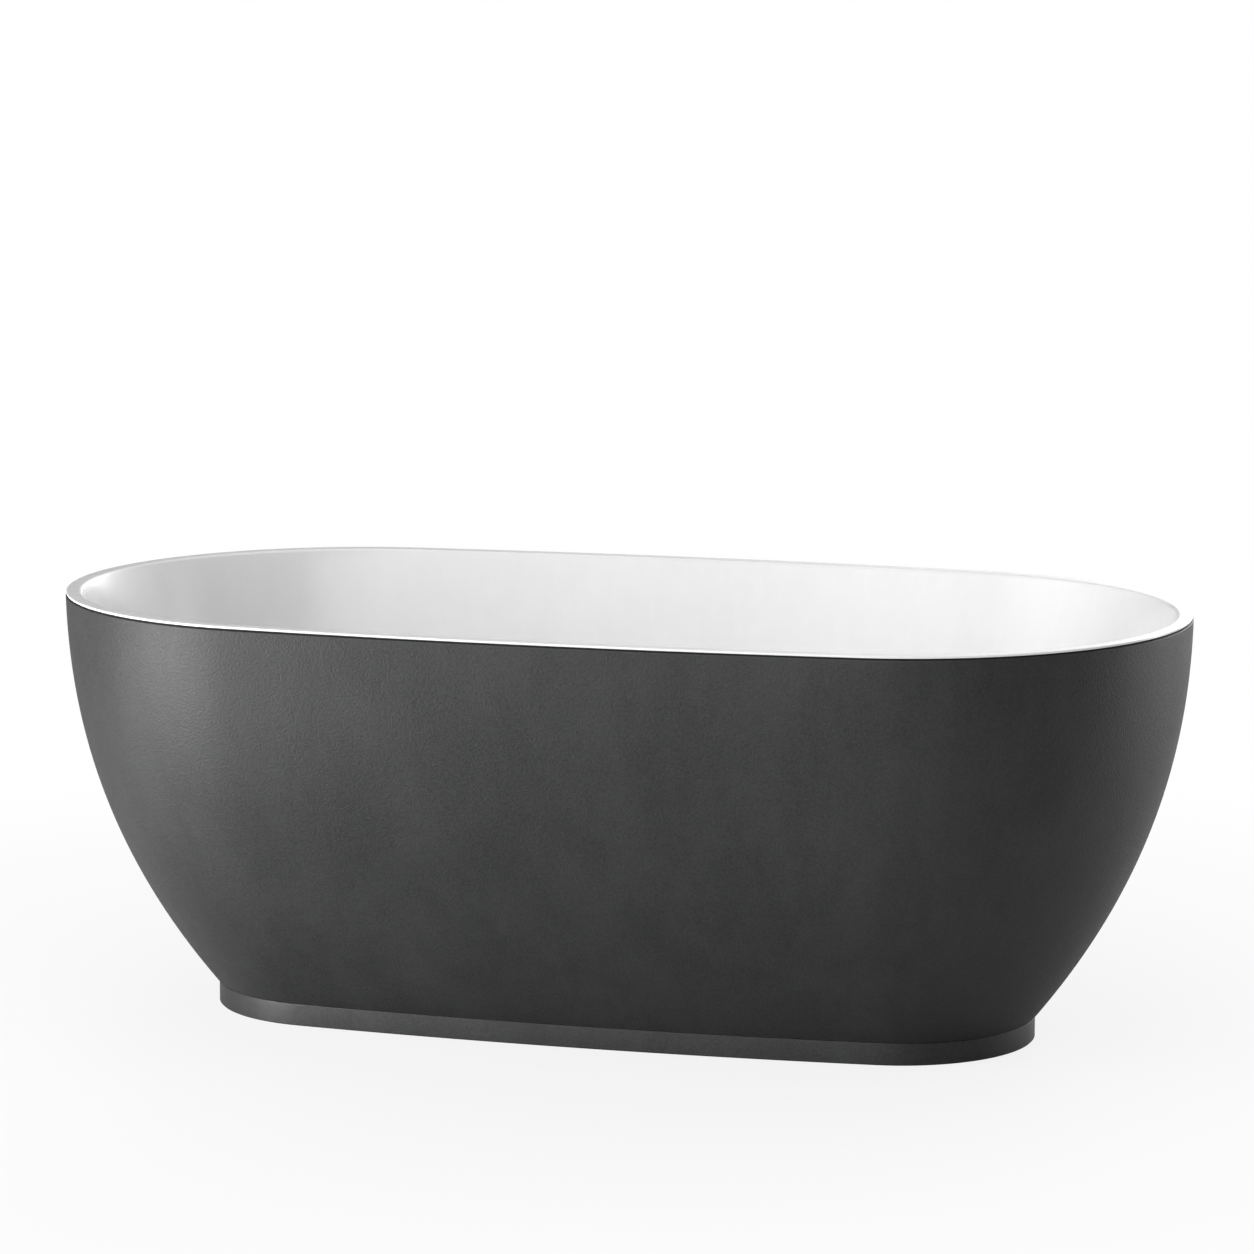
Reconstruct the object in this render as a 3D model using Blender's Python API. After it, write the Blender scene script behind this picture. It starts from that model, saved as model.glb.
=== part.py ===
# Freestanding double-skinned bathtub.
# X runs along the length, Y across the width with the front at -Y, and Z up from the floor.
# The origin is on the floor under the middle of the tub.
import math

import bmesh
import bpy
from mathutils import Matrix, Vector

# Plan outline: a four-centred oval, round ends joined by slightly bowed sides.
LENGTH = 1.600
WIDTH = 0.840
HEIGHT = 0.595
END_RADIUS = 0.402
END_STEPS = 11
SIDE_STEPS = 3

# Gap between pieces that touch.
GAP = 0.0003

# Plinth and outer skirt. The skirt leans in by SKIRT_TAPER from its top to its foot.
PLINTH_TOP = 0.0310
PLINTH_INSET = 0.2096
PLINTH_WALL = 0.010
PLINTH_CHAMFER = 0.0015
SKIRT_FOOT = PLINTH_TOP + GAP
SKIRT_TAPER = 0.2092
SKIRT_LINEAR = 0.038
SKIRT_CUBIC = 0.239
SKIRT_WALL = 0.005
SKIRT_LIP = 0.014
SKIRT_EDGE = 0.0015

# White basin: flange, inner edge radius, wall curve and floor.
FLANGE_THICKNESS = 0.003
FLANGE_INSET = 0.0010
FLANGE_EDGE = 0.0008
RIM_FLAT = 0.0180
RIM_RADIUS = 0.0055
BASIN_LEAN = math.radians(15.2)
BASIN_WALL = 0.006
BASIN_FLOOR = 0.155
FLOOR_INSET = 0.250
CURVE_DROP = 0.198
CURVE_FLOOR_HANDLE = 0.120
SEAM_SLOT = 0.0022
SEAM_INSET = 0.0022
SEAM_DEPTH = 0.0098

# Frame under the basin.
BOARD_THICKNESS = 0.018
BOARD_INSET = 0.262
BOARD_HOLE = 0.045
RAIL_SIZE = 0.030
RAIL_WALL = 0.002
RAIL_LENGTH = 1.000
RAIL_Y = 0.110
CRADLE_X = 0.360
CRADLE_LENGTH = 0.390
CRADLE_WIDTH = 0.040
CRADLE_DEPTH = 0.020
CRADLE_WALL = 0.003

# Levelling feet, M12 with a pitch of 1.75 mm.
FOOT_Y = 0.150
STUD_RADIUS = 0.006
STUD_TOP = 0.120
STUD_BOTTOM = 0.0065
STUD_HEX = 0.017
NUT_ACROSS_FLATS = 0.019
NUT_HEIGHT = 0.010
NUT_HOLE = 0.0064
PAD_RADIUS = 0.025
PAD_HEIGHT = 0.014

# Brackets, bent from flat strip.
STRIP = 0.003
STRIP_WIDTH = 0.030
SKIRT_BRACKET_X = 0.250
PLINTH_BRACKET_X = 0.120
SCREW_RADIUS = 0.0027
SCREW_HOLE = 0.0032

# Drain in the middle of the floor.
DRAIN_HOLE = 0.026
RECESS_RADIUS = 0.038
RECESS_DEPTH = 0.002
GASKET = 0.0012
PORT_Z = 0.083
TRAP_AXIS_Z = 0.028
TAIL_X = 0.300
TAIL_Y = 0.040

# Overflow in the middle of the front wall.
OVERFLOW_Z = 0.485
OVERFLOW_HOLE = 0.0175
OVERFLOW_SPIGOT = 0.0195
HOSE_RADIUS = 0.010
DRAIN_HOSE_RADIUS = 0.019

HALF_WIDTH = WIDTH / 2
END_CENTRE = LENGTH / 2 - END_RADIUS
SIDE_RADIUS = (END_CENTRE ** 2 + HALF_WIDTH ** 2 - END_RADIUS ** 2) / (2 * (HALF_WIDTH - END_RADIUS))
SIDE_CENTRE = SIDE_RADIUS - HALF_WIDTH
JOIN_ANGLE = math.atan2(SIDE_CENTRE, END_CENTRE)
SKIRT_TOP = HEIGHT - FLANGE_THICKNESS - SEAM_SLOT
BASIN_UNDER = BASIN_FLOOR - BASIN_WALL
BOARD_TOP = BASIN_UNDER - GAP
RAIL_TOP = BOARD_TOP - BOARD_THICKNESS - GAP
CRADLE_TOP = RAIL_TOP - RAIL_SIZE - GAP
RECESS_FLOOR = BASIN_FLOOR - RECESS_DEPTH
FLANGE_SEAT = RECESS_FLOOR + GASKET + 2 * GAP
FLANGE_TOP = FLANGE_SEAT + 0.0025


# ---------- materials and objects

def make_material(name, colour, roughness, metallic=0.0):
    material = bpy.data.materials.new(name)
    material.use_nodes = True
    shader = material.node_tree.nodes["Principled BSDF"]
    shader.inputs["Base Color"].default_value = (*colour, 1.0)
    shader.inputs["Roughness"].default_value = roughness
    shader.inputs["Metallic"].default_value = metallic
    material.diffuse_color = (*colour, 1.0)
    return material


def add_object(name, bm, material, place=None, smooth=True):
    bmesh.ops.recalc_face_normals(bm, faces=bm.faces)
    mesh = bpy.data.meshes.new(name)
    bm.to_mesh(mesh)
    bm.free()
    if smooth:
        mesh.shade_smooth()
        mesh.set_sharp_from_angle(angle=math.radians(35))
    thing = bpy.data.objects.new(name, mesh)
    thing.data.materials.append(material)
    if place is not None:
        thing.matrix_world = place
    bpy.context.collection.objects.link(thing)
    return thing


def combine(thing, tool, operation="DIFFERENCE"):
    tool.hide_render = True
    tool.display_type = "WIRE"
    modifier = thing.modifiers.new("Boolean", "BOOLEAN")
    modifier.operation = operation
    modifier.solver = "EXACT"
    modifier.object = tool


# ---------- general shapes

def ring_stack(rings, closed=False):
    """Skin rings of equal length, as a closed loop of rings or as a capped stack."""
    bm = bmesh.new()
    loops = [[bm.verts.new(point) for point in ring] for ring in rings]
    pairs = list(zip(loops, loops[1:]))
    if closed:
        pairs.append((loops[-1], loops[0]))
    for lower, upper in pairs:
        count = len(lower)
        for i in range(count):
            j = (i + 1) % count
            bm.faces.new((lower[i], lower[j], upper[j], upper[i]))
    if not closed:
        bm.faces.new(loops[0])
        bm.faces.new(loops[-1])
    return bm


def turned(profile, steps, on_axis=False):
    """Spin an (r, z) profile about Z. It closes on itself, or on the axis."""
    bm = bmesh.new()
    verts = [bm.verts.new((r, 0, z)) for r, z in profile]
    for a, b in zip(verts, verts[1:]):
        bm.edges.new((a, b))
    if not on_axis:
        bm.edges.new((verts[-1], verts[0]))
    geometry = bm.verts[:] + bm.edges[:]
    bmesh.ops.spin(bm, geom=geometry, cent=(0, 0, 0), axis=(0, 0, 1), angle=2 * math.pi,
                   steps=steps, use_merge=True)
    bmesh.ops.remove_doubles(bm, verts=bm.verts, dist=0.00001)
    return bm


def tube_profile(inner, outer, low, high):
    return [(inner, low), (outer, low), (outer, high), (inner, high)]


def rod(radius, low, high, steps):
    return turned([(0, low), (radius, low), (radius, high), (0, high)], steps, on_axis=True)


def block(low, high):
    bm = bmesh.new()
    bmesh.ops.create_cube(bm, size=1.0)
    size = Vector(high) - Vector(low)
    bmesh.ops.scale(bm, vec=size, verts=bm.verts)
    bmesh.ops.translate(bm, vec=Vector(low) + size / 2, verts=bm.verts)
    return bm


def extruded(outline, width, middle_x):
    """Extrude a closed (y, z) outline along X."""
    bm = bmesh.new()
    start = middle_x - width / 2
    face = bm.faces.new([bm.verts.new((start, y, z)) for y, z in outline])
    pushed = bmesh.ops.extrude_face_region(bm, geom=[face])
    moved = [item for item in pushed["geom"] if isinstance(item, bmesh.types.BMVert)]
    bmesh.ops.translate(bm, vec=(width, 0, 0), verts=moved)
    return bm


def hex_ring(across_flats, z):
    """Twelve points of a hexagon: its corners and the middles of its sides."""
    points = []
    for i in range(12):
        angle = math.pi * i / 6
        radius = across_flats / 2
        if i % 2 == 0:
            radius /= math.cos(math.pi / 6)
        points.append((radius * math.cos(angle), radius * math.sin(angle), z))
    return points


def round_ring(radius, z, count=12):
    turn = 2 * math.pi / count
    return [(radius * math.cos(turn * i), radius * math.sin(turn * i), z) for i in range(count)]


def offset_line(points, distance):
    """Move an open line sideways, to its left for a positive distance, with mitred corners."""
    moved = []
    for i, point in enumerate(points):
        here = Vector(point)
        before = (here - Vector(points[i - 1])).normalized() if i > 0 else None
        after = (Vector(points[i + 1]) - here).normalized() if i < len(points) - 1 else None
        before = before or after
        after = after or before
        normal = Vector((-before.y - after.y, before.x + after.x)).normalized()
        reach = distance / max(0.2, normal.dot(Vector((-before.y, before.x))))
        moved.append(tuple(here + normal * reach))
    return moved


def smooth_route(points, steps):
    """Catmull-Rom curve through the points."""
    knots = [Vector(point) for point in points]
    knots = [2 * knots[0] - knots[1]] + knots + [2 * knots[-1] - knots[-2]]
    route = []
    for a, b, c, d in zip(knots, knots[1:], knots[2:], knots[3:]):
        for i in range(steps):
            t = i / steps
            route.append(0.5 * (2 * b + (c - a) * t + (2 * a - 5 * b + 4 * c - d) * t ** 2
                                + (3 * b - a - 3 * c + d) * t ** 3))
    route.append(knots[-2])
    return route


def hose(name, points, radius, material, steps=4):
    curve = bpy.data.curves.new(name, "CURVE")
    curve.dimensions = "3D"
    curve.bevel_depth = radius
    curve.bevel_resolution = 3
    curve.use_fill_caps = True
    route = smooth_route(points, steps)
    spline = curve.splines.new("POLY")
    spline.points.add(len(route) - 1)
    for knot, point in zip(spline.points, route):
        knot.co = (*point, 1.0)
    curve.materials.append(material)
    thing = bpy.data.objects.new(name, curve)
    bpy.context.collection.objects.link(thing)
    return thing


# ---------- the tub's own curves

def oval(inset):
    """Points of the plan outline moved in by inset, anticlockwise from +X."""
    quarter = []
    for i in range(END_STEPS):
        angle = JOIN_ANGLE * i / END_STEPS
        radius = END_RADIUS - inset
        quarter.append((END_CENTRE + radius * math.cos(angle), radius * math.sin(angle)))
    for i in range(SIDE_STEPS + 1):
        angle = JOIN_ANGLE + (math.pi / 2 - JOIN_ANGLE) * i / SIDE_STEPS
        radius = SIDE_RADIUS - inset
        quarter.append((radius * math.cos(angle), radius * math.sin(angle) - SIDE_CENTRE))
    upper = quarter + [(-x, y) for x, y in reversed(quarter[:-1])]
    return upper + [(x, -y) for x, y in reversed(upper[1:-1])]


def oval_ring(inset, z):
    return [(x, y, z) for x, y in oval(inset)]


def circle_ring(radius, z):
    return round_ring(radius, z, 4 * (END_STEPS + SIDE_STEPS))


def side_y(inset, x):
    """Half width of the outline at a station x on its bowed side."""
    return math.sqrt((SIDE_RADIUS - inset) ** 2 - x ** 2) - SIDE_CENTRE


def skirt_inset(z):
    fall = (HEIGHT - z) / (HEIGHT - SKIRT_FOOT)
    square = 1 - SKIRT_LINEAR - SKIRT_CUBIC
    return SKIRT_TAPER * (SKIRT_LINEAR * fall + square * fall ** 2 + SKIRT_CUBIC * fall ** 3)


def skirt_line(low, high, count):
    """Points (inset, z) down the outside of the skirt."""
    heights = [high + (low - high) * i / count for i in range(count + 1)]
    return [(skirt_inset(z), z) for z in heights]


def basin_point(t):
    """Point (inset, z) on the wet face, from the rim's inner edge at t=0 to the floor at t=1."""
    start = Vector((RIM_FLAT + RIM_RADIUS * math.cos(BASIN_LEAN),
                    HEIGHT - RIM_RADIUS + RIM_RADIUS * math.sin(BASIN_LEAN)))
    down = start + CURVE_DROP * Vector((math.sin(BASIN_LEAN), -math.cos(BASIN_LEAN)))
    end = Vector((FLOOR_INSET, BASIN_FLOOR))
    along = end - Vector((CURVE_FLOOR_HANDLE, 0))
    s = 1 - t
    return s ** 3 * start + 3 * s * s * t * down + 3 * s * t * t * along + t ** 3 * end


def basin_at_height(z):
    """Inset and downhill direction (inset, z) of the wet face at a height."""
    low, high = 0.0, 1.0
    for _ in range(40):
        middle = (low + high) / 2
        if basin_point(middle).y > z:
            low = middle
        else:
            high = middle
    slope = (basin_point(low + 0.01) - basin_point(low - 0.01)).normalized()
    return basin_point(low).x, slope


def skirt_inside(z):
    return skirt_inset(z) + SKIRT_WALL + 0.001


# ---------- shells

def build_outer_shell(material):
    outside = skirt_line(SKIRT_FOOT, SKIRT_TOP - SKIRT_EDGE, 10)
    lip_top = SKIRT_FOOT + SKIRT_WALL
    inside = offset_line(skirt_line(SKIRT_FOOT + 0.002, SKIRT_TOP - SKIRT_WALL - SKIRT_EDGE, 7), SKIRT_WALL)
    inside = [point for point in inside if point[1] > lip_top + 0.002]
    profile = [(SKIRT_EDGE, SKIRT_TOP)] + outside
    profile += [(SKIRT_TAPER + SKIRT_LIP, SKIRT_FOOT), (SKIRT_TAPER + SKIRT_LIP, lip_top)]
    profile += [(SKIRT_TAPER + 0.004, lip_top)] + inside[::-1]
    profile += [(SKIRT_LIP, SKIRT_TOP - SKIRT_WALL), (SKIRT_LIP, SKIRT_TOP)]
    rings = [oval_ring(inset, z) for inset, z in profile]
    return add_object("outer_shell", ring_stack(rings, closed=True), material)


def build_inner_shell(material):
    underside = HEIGHT - FLANGE_THICKNESS
    rings = [oval_ring(FLANGE_INSET, underside)]
    rings.append(oval_ring(FLANGE_INSET, HEIGHT - FLANGE_EDGE))
    rings.append(oval_ring(FLANGE_INSET + FLANGE_EDGE, HEIGHT))
    edge_steps = 3
    for i in range(edge_steps):
        angle = (math.pi / 2 - BASIN_LEAN) * i / edge_steps
        rings.append(oval_ring(RIM_FLAT + RIM_RADIUS * math.sin(angle),
                               HEIGHT - RIM_RADIUS * (1 - math.cos(angle))))
    wet = [basin_point(i / 10) for i in range(11)]
    rings += [oval_ring(inset, z) for inset, z in wet]
    rings.append(circle_ring(RECESS_RADIUS, BASIN_FLOOR))
    rings.append(circle_ring(RECESS_RADIUS, RECESS_FLOOR))
    rings.append(circle_ring(DRAIN_HOLE, RECESS_FLOOR))
    rings.append(circle_ring(DRAIN_HOLE, BASIN_UNDER))
    wet_coarse = [tuple(basin_point(0.04 + 0.96 * i / 8)) for i in range(9)]
    dry = offset_line(wet_coarse, -BASIN_WALL)
    dry[-1] = (FLOOR_INSET, BASIN_UNDER)
    rings += [oval_ring(inset, z) for inset, z in reversed(dry)]
    rings.append(oval_ring(RIM_FLAT, underside - 0.005))
    rings.append(oval_ring(RIM_FLAT - 0.002, underside))
    shell = add_object("inner_shell", ring_stack(rings, closed=True), material)
    cutter = add_object("overflow_cutter", rod(OVERFLOW_HOLE, -0.020, 0.020, 20), material,
                        overflow_place())
    combine(shell, cutter)
    return shell


def build_plinth(material):
    profile = [(PLINTH_INSET + PLINTH_CHAMFER, 0), (PLINTH_INSET, PLINTH_CHAMFER),
               (PLINTH_INSET, PLINTH_TOP - 0.0005), (PLINTH_INSET + 0.0005, PLINTH_TOP),
               (PLINTH_INSET + PLINTH_WALL, PLINTH_TOP), (PLINTH_INSET + PLINTH_WALL, 0)]
    rings = [oval_ring(inset, z) for inset, z in profile]
    return add_object("plinth", ring_stack(rings, closed=True), material)


def build_rim_seam(material):
    low = SKIRT_TOP + GAP
    high = HEIGHT - FLANGE_THICKNESS - GAP
    profile = [(SEAM_INSET, low), (SEAM_INSET, high), (SEAM_INSET + SEAM_DEPTH, high),
               (SEAM_INSET + SEAM_DEPTH, low)]
    rings = [oval_ring(inset, z) for inset, z in profile]
    return add_object("rim_seam", ring_stack(rings, closed=True), material)


def build_base_board(material):
    low = BOARD_TOP - BOARD_THICKNESS
    rings = [oval_ring(BOARD_INSET, low), oval_ring(BOARD_INSET, BOARD_TOP),
             circle_ring(BOARD_HOLE, BOARD_TOP), circle_ring(BOARD_HOLE, low)]
    return add_object("base_board", ring_stack(rings, closed=True), material)


# ---------- frame, brackets and feet

def build_rail(name, y, material):
    low = RAIL_TOP - RAIL_SIZE
    half = RAIL_SIZE / 2
    outer = [(y - half, low), (y + half, low), (y + half, RAIL_TOP), (y - half, RAIL_TOP)]
    inner = [(y - half + RAIL_WALL, low + RAIL_WALL), (y + half - RAIL_WALL, low + RAIL_WALL),
             (y + half - RAIL_WALL, RAIL_TOP - RAIL_WALL), (y - half + RAIL_WALL, RAIL_TOP - RAIL_WALL)]
    left, right = -RAIL_LENGTH / 2, RAIL_LENGTH / 2
    rings = [[(left, a, b) for a, b in outer], [(right, a, b) for a, b in outer],
             [(right, a, b) for a, b in inner], [(left, a, b) for a, b in inner]]
    rail = add_object(name, ring_stack(rings, closed=True), material, smooth=False)
    outward = math.copysign(1, y)
    for x in (-SKIRT_BRACKET_X, SKIRT_BRACKET_X):
        place = screw_place(x, outward)
        cutter = add_object(f"{name}_cutter", rod(SCREW_HOLE, -0.008, 0.008, 8), material, place)
        combine(rail, cutter)
    return rail


def screw_place(x, outward):
    """Screw axis, pointing outwards from the rail's outer face."""
    spot = Vector((x, outward * (RAIL_Y + RAIL_SIZE / 2), RAIL_TOP - RAIL_SIZE / 2))
    return Matrix.Translation(spot) @ Matrix.Rotation(-outward * math.pi / 2, 4, "X")


def build_cradle(name, x, material):
    half = CRADLE_WIDTH / 2
    low = CRADLE_TOP - CRADLE_DEPTH
    web = CRADLE_TOP - CRADLE_WALL
    section = [(x - half, low), (x - half + CRADLE_WALL, low), (x - half + CRADLE_WALL, web),
               (x + half - CRADLE_WALL, web), (x + half - CRADLE_WALL, low), (x + half, low),
               (x + half, CRADLE_TOP), (x - half, CRADLE_TOP)]
    ends = [[(a, y, b) for a, b in section] for y in (-CRADLE_LENGTH / 2, CRADLE_LENGTH / 2)]
    cradle = add_object(name, ring_stack(ends), material, smooth=False)
    for y in (-FOOT_Y, FOOT_Y):
        hole = rod(STUD_RADIUS + 0.0015, CRADLE_TOP - 0.010, CRADLE_TOP + 0.010, 12)
        cutter = add_object(f"{name}_cutter", hole, material, Matrix.Translation((x, y, 0)))
        combine(cradle, cutter)
    return cradle


def build_nut(name, x, y, low, material):
    rings = [round_ring(NUT_HOLE, low), hex_ring(NUT_ACROSS_FLATS, low),
             hex_ring(NUT_ACROSS_FLATS, low + NUT_HEIGHT), round_ring(NUT_HOLE, low + NUT_HEIGHT)]
    return add_object(name, ring_stack(rings, closed=True), material,
                      Matrix.Translation((x, y, 0)), smooth=False)


def build_foot(corner, x, y, steel, zinc, rubber):
    """Pad, threaded stud with its spanner hexagon, nut under the web and lock nut above it."""
    pad = [(0, 0), (PAD_RADIUS - 0.001, 0), (PAD_RADIUS, 0.001), (PAD_RADIUS, 0.004), (0.013, 0.009),
           (0.012, PAD_HEIGHT), (STUD_RADIUS + 0.0005, PAD_HEIGHT),
           (STUD_RADIUS + 0.0005, STUD_BOTTOM - GAP), (0, STUD_BOTTOM - GAP)]
    place = Matrix.Translation((x, y, 0))
    add_object(f"foot_{corner}_pad", turned(pad, 16, on_axis=True), rubber, place)
    hex_low = PAD_HEIGHT + 0.003
    rings = [round_ring(STUD_RADIUS, STUD_BOTTOM), round_ring(STUD_RADIUS, hex_low),
             hex_ring(STUD_HEX, hex_low), hex_ring(STUD_HEX, hex_low + 0.006),
             round_ring(STUD_RADIUS, hex_low + 0.006), round_ring(STUD_RADIUS, STUD_TOP - 0.001),
             round_ring(STUD_RADIUS - 0.001, STUD_TOP)]
    add_object(f"foot_{corner}_stud", ring_stack(rings), zinc, place)
    build_nut(f"foot_{corner}_weld_nut", x, y, CRADLE_TOP - CRADLE_WALL - GAP - NUT_HEIGHT, steel)
    build_nut(f"foot_{corner}_lock_nut", x, y, CRADLE_TOP + GAP, zinc)


def bent_strip(name, path, x, material, outward):
    """A strip along a (y, z) path drawn for the back, mirrored for the front."""
    outline = path + offset_line(path, STRIP)[::-1]
    outline = [(outward * y, z) for y, z in outline]
    return add_object(name, extruded(outline, STRIP_WIDTH, x), material, smooth=False)


def build_skirt_bracket(name, x, outward, material, screw_name, screw_material):
    """From the rail's outer face to a pad that follows the leaning inside of the skirt."""
    start = RAIL_Y + RAIL_SIZE / 2 + GAP
    low = RAIL_TOP - RAIL_SIZE + 0.001
    edge_x = abs(x) + STRIP_WIDTH / 2
    clear = 0.0028
    top_z = low + 0.030
    foot_y = side_y(skirt_inside(low) + clear, edge_x)
    top_y = side_y(skirt_inside(top_z) + clear, edge_x)
    path = [(start, RAIL_TOP - 0.001), (start, low), (foot_y, low), (top_y, top_z)]
    strip = bent_strip(name, path, x, material, outward)
    place = screw_place(x, outward)
    cutter = add_object(f"{name}_cutter", rod(SCREW_HOLE, -0.006, 0.010, 8), material, place)
    combine(strip, cutter)
    head_low = STRIP + 2 * GAP
    profile = [(0, -0.006), (SCREW_RADIUS, -0.006), (SCREW_RADIUS, head_low), (0.0048, head_low),
               (0.0048, head_low + 0.002), (0.003, head_low + 0.0035), (0, head_low + 0.0035)]
    add_object(screw_name, turned(profile, 10, on_axis=True), screw_material, place)


def build_plinth_bracket(name, x, outward, material):
    """From the rail's outer face down and out to the inside of the plinth."""
    start = RAIL_Y + RAIL_SIZE / 2 + GAP
    reach = side_y(PLINTH_INSET + PLINTH_WALL, abs(x) + STRIP_WIDTH / 2) - GAP
    path = [(start, RAIL_TOP - 0.001), (start, 0.018), (reach, 0.018), (reach, 0.028)]
    return bent_strip(name, path, x, material, outward)


# ---------- drain

def build_drain(chrome, rubber, plastic, steel):
    gasket_low = RECESS_FLOOR + GAP
    neck, bore = 0.0245, 0.0215
    add_object("drain_gasket_upper", turned(tube_profile(DRAIN_HOLE, 0.034, gasket_low,
               gasket_low + GASKET), 20), rubber)
    flange = [(bore, 0.118), (neck, 0.118), (neck, FLANGE_SEAT), (0.036, FLANGE_SEAT),
              (0.036, FLANGE_SEAT + 0.001), (0.034, FLANGE_TOP), (bore + 0.003, FLANGE_TOP),
              (bore, FLANGE_TOP - 0.003)]
    add_object("drain_flange", turned(flange, 24), chrome)
    seat = BASIN_UNDER - GAP
    add_object("drain_gasket_lower", turned(tube_profile(neck + 0.001, 0.034, seat - 0.002, seat), 20),
               rubber)
    top = seat - 0.002 - GAP
    low = 0.068
    body = [(neck + 0.0008, top), (neck + 0.0008, low + 0.0035), (0.0165, low + 0.0035), (0.0165, 0.0563),
            (0.020, 0.0563), (0.020, low), (0.031, low), (0.031, top - 0.003), (0.036, top - 0.003),
            (0.036, top)]
    waste = add_object("waste_body", turned(body, 20), plastic)
    sideways = Matrix.Translation((0, 0, PORT_Z)) @ Matrix.Rotation(math.pi / 2, 4, "X")
    port = add_object("waste_port_tool", rod(0.012, 0.028, 0.060, 16), plastic, sideways)
    bore_tool = add_object("waste_port_cutter", rod(0.009, 0.015, 0.070, 16), plastic, sideways)
    combine(waste, port, "UNION")
    combine(waste, bore_tool)
    add_object("waste_nut", turned(tube_profile(0.0208, 0.027, 0.0505, 0.064), 16), plastic)
    build_plug(chrome, rubber, plastic, steel, bore)


def build_plug(chrome, rubber, plastic, steel, bore):
    seal_low = FLANGE_TOP + 2 * GAP
    cap_roof = seal_low + 0.0025
    cap = [(0, cap_roof), (0.0305, cap_roof), (0.0305, cap_roof - 0.0015), (0.033, cap_roof - 0.0015),
           (0.033, cap_roof), (0.031, cap_roof + 0.002), (0.022, cap_roof + 0.004), (0, cap_roof + 0.005)]
    add_object("plug_cap", turned(cap, 24, on_axis=True), chrome)
    add_object("plug_seal", turned(tube_profile(0.023, 0.030, seal_low, cap_roof - GAP), 20), rubber)
    shoulder = 0.130
    stem = [(0, shoulder), (0.008, shoulder), (0.008, shoulder + 0.003), (0.005, shoulder + 0.003),
            (0.005, cap_roof - GAP), (0, cap_roof - GAP)]
    add_object("plug_stem", turned(stem, 14, on_axis=True), plastic)
    low, high = 0.112, 0.150
    barrel = [(0.003, low), (0.0115, low), (0.0115, high), (0.0055, high), (0.0055, high - 0.002),
              (0.0090, high - 0.002), (0.0090, low + 0.0025), (0.003, low + 0.0025)]
    holder = add_object("plug_barrel", turned(barrel, 14), plastic)
    for i in range(3):
        arm = block((0.0105, -0.002, 0.119), (bore - 0.0008, 0.002, 0.123))
        tool = add_object("plug_arm_tool", arm, plastic, Matrix.Rotation(2 * math.pi * i / 3, 4, "Z"))
        combine(holder, tool, "UNION")
    build_plug_spring(low + 0.0025 + GAP, shoulder - GAP, steel)


def build_plug_spring(low, high, material):
    turns, per_turn, sides = 5, 10, 5
    coil, wire = 0.0065, 0.0007
    rise = high - low - 2 * wire
    rings = []
    for i in range(turns * per_turn + 1):
        angle = 2 * math.pi * i / per_turn
        z = low + wire + rise * i / (turns * per_turn)
        ring = []
        for k in range(sides):
            turn = 2 * math.pi * k / sides
            radius = coil + wire * math.cos(turn)
            ring.append((radius * math.cos(angle), radius * math.sin(angle), z + wire * math.sin(turn)))
        rings.append(ring)
    add_object("plug_spring", ring_stack(rings), material)


def build_trap(plastic, hose_material):
    pot = [(0, 0.004), (0.042, 0.004), (0.045, 0.007), (0.045, 0.047), (0.042, 0.050), (0.020, 0.050),
           (0.020, 0.056), (0.0165, 0.056), (0.0165, 0.047), (0.0415, 0.047), (0.0415, 0.0075), (0, 0.0075)]
    trap = add_object("trap", turned(pot, 20, on_axis=True), plastic)
    along = Matrix.Translation((0, 0, TRAP_AXIS_Z)) @ Matrix.Rotation(math.pi / 2, 4, "Y")
    outlet = add_object("trap_outlet_tool", rod(0.020, 0.0425, 0.080, 16), plastic, along)
    bore = add_object("trap_outlet_cutter", rod(0.0165, 0.030, 0.090, 16), plastic, along)
    combine(trap, outlet, "UNION")
    combine(trap, bore)
    tail = [(0, 0.052), (0.027, 0.052), (0.030, 0.049), (0.030, 0.001), (0.026, 0.001), (0.026, 0.048),
            (0, 0.048)]
    place = Matrix.Translation((TAIL_X, TAIL_Y, 0))
    connector = add_object("floor_connector", turned(tail, 20, on_axis=True), plastic, place)
    back = Matrix.Translation((TAIL_X, TAIL_Y, TRAP_AXIS_Z)) @ Matrix.Rotation(-math.pi / 2, 4, "Y")
    inlet = add_object("connector_inlet_tool", rod(0.020, 0.028, 0.060, 16), plastic, back)
    bore = add_object("connector_inlet_cutter", rod(0.0165, 0.010, 0.070, 16), plastic, back)
    combine(connector, inlet, "UNION")
    combine(connector, bore)
    start = 0.080 + GAP
    end = TAIL_X - 0.060 - GAP
    points = [(start, 0, TRAP_AXIS_Z), (start + 0.008, 0, TRAP_AXIS_Z), (start + 0.018, 0, TRAP_AXIS_Z),
              ((start + end) / 2, TAIL_Y / 2, TRAP_AXIS_Z), (end - 0.018, TAIL_Y, TRAP_AXIS_Z),
              (end - 0.008, TAIL_Y, TRAP_AXIS_Z), (end, TAIL_Y, TRAP_AXIS_Z)]
    hose("drain_hose", points, DRAIN_HOSE_RADIUS, hose_material, steps=3)
    for name, x, y in (("drain_hose_nut_trap", 0.080, 0), ("drain_hose_nut_tail", TAIL_X - 0.060, TAIL_Y)):
        spot = Matrix.Translation((x, y, TRAP_AXIS_Z)) @ Matrix.Rotation(math.pi / 2, 4, "Y")
        add_object(name, turned(tube_profile(0.0208, 0.0237, -0.007, 0.009), 16), plastic, spot)


# ---------- overflow

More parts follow.
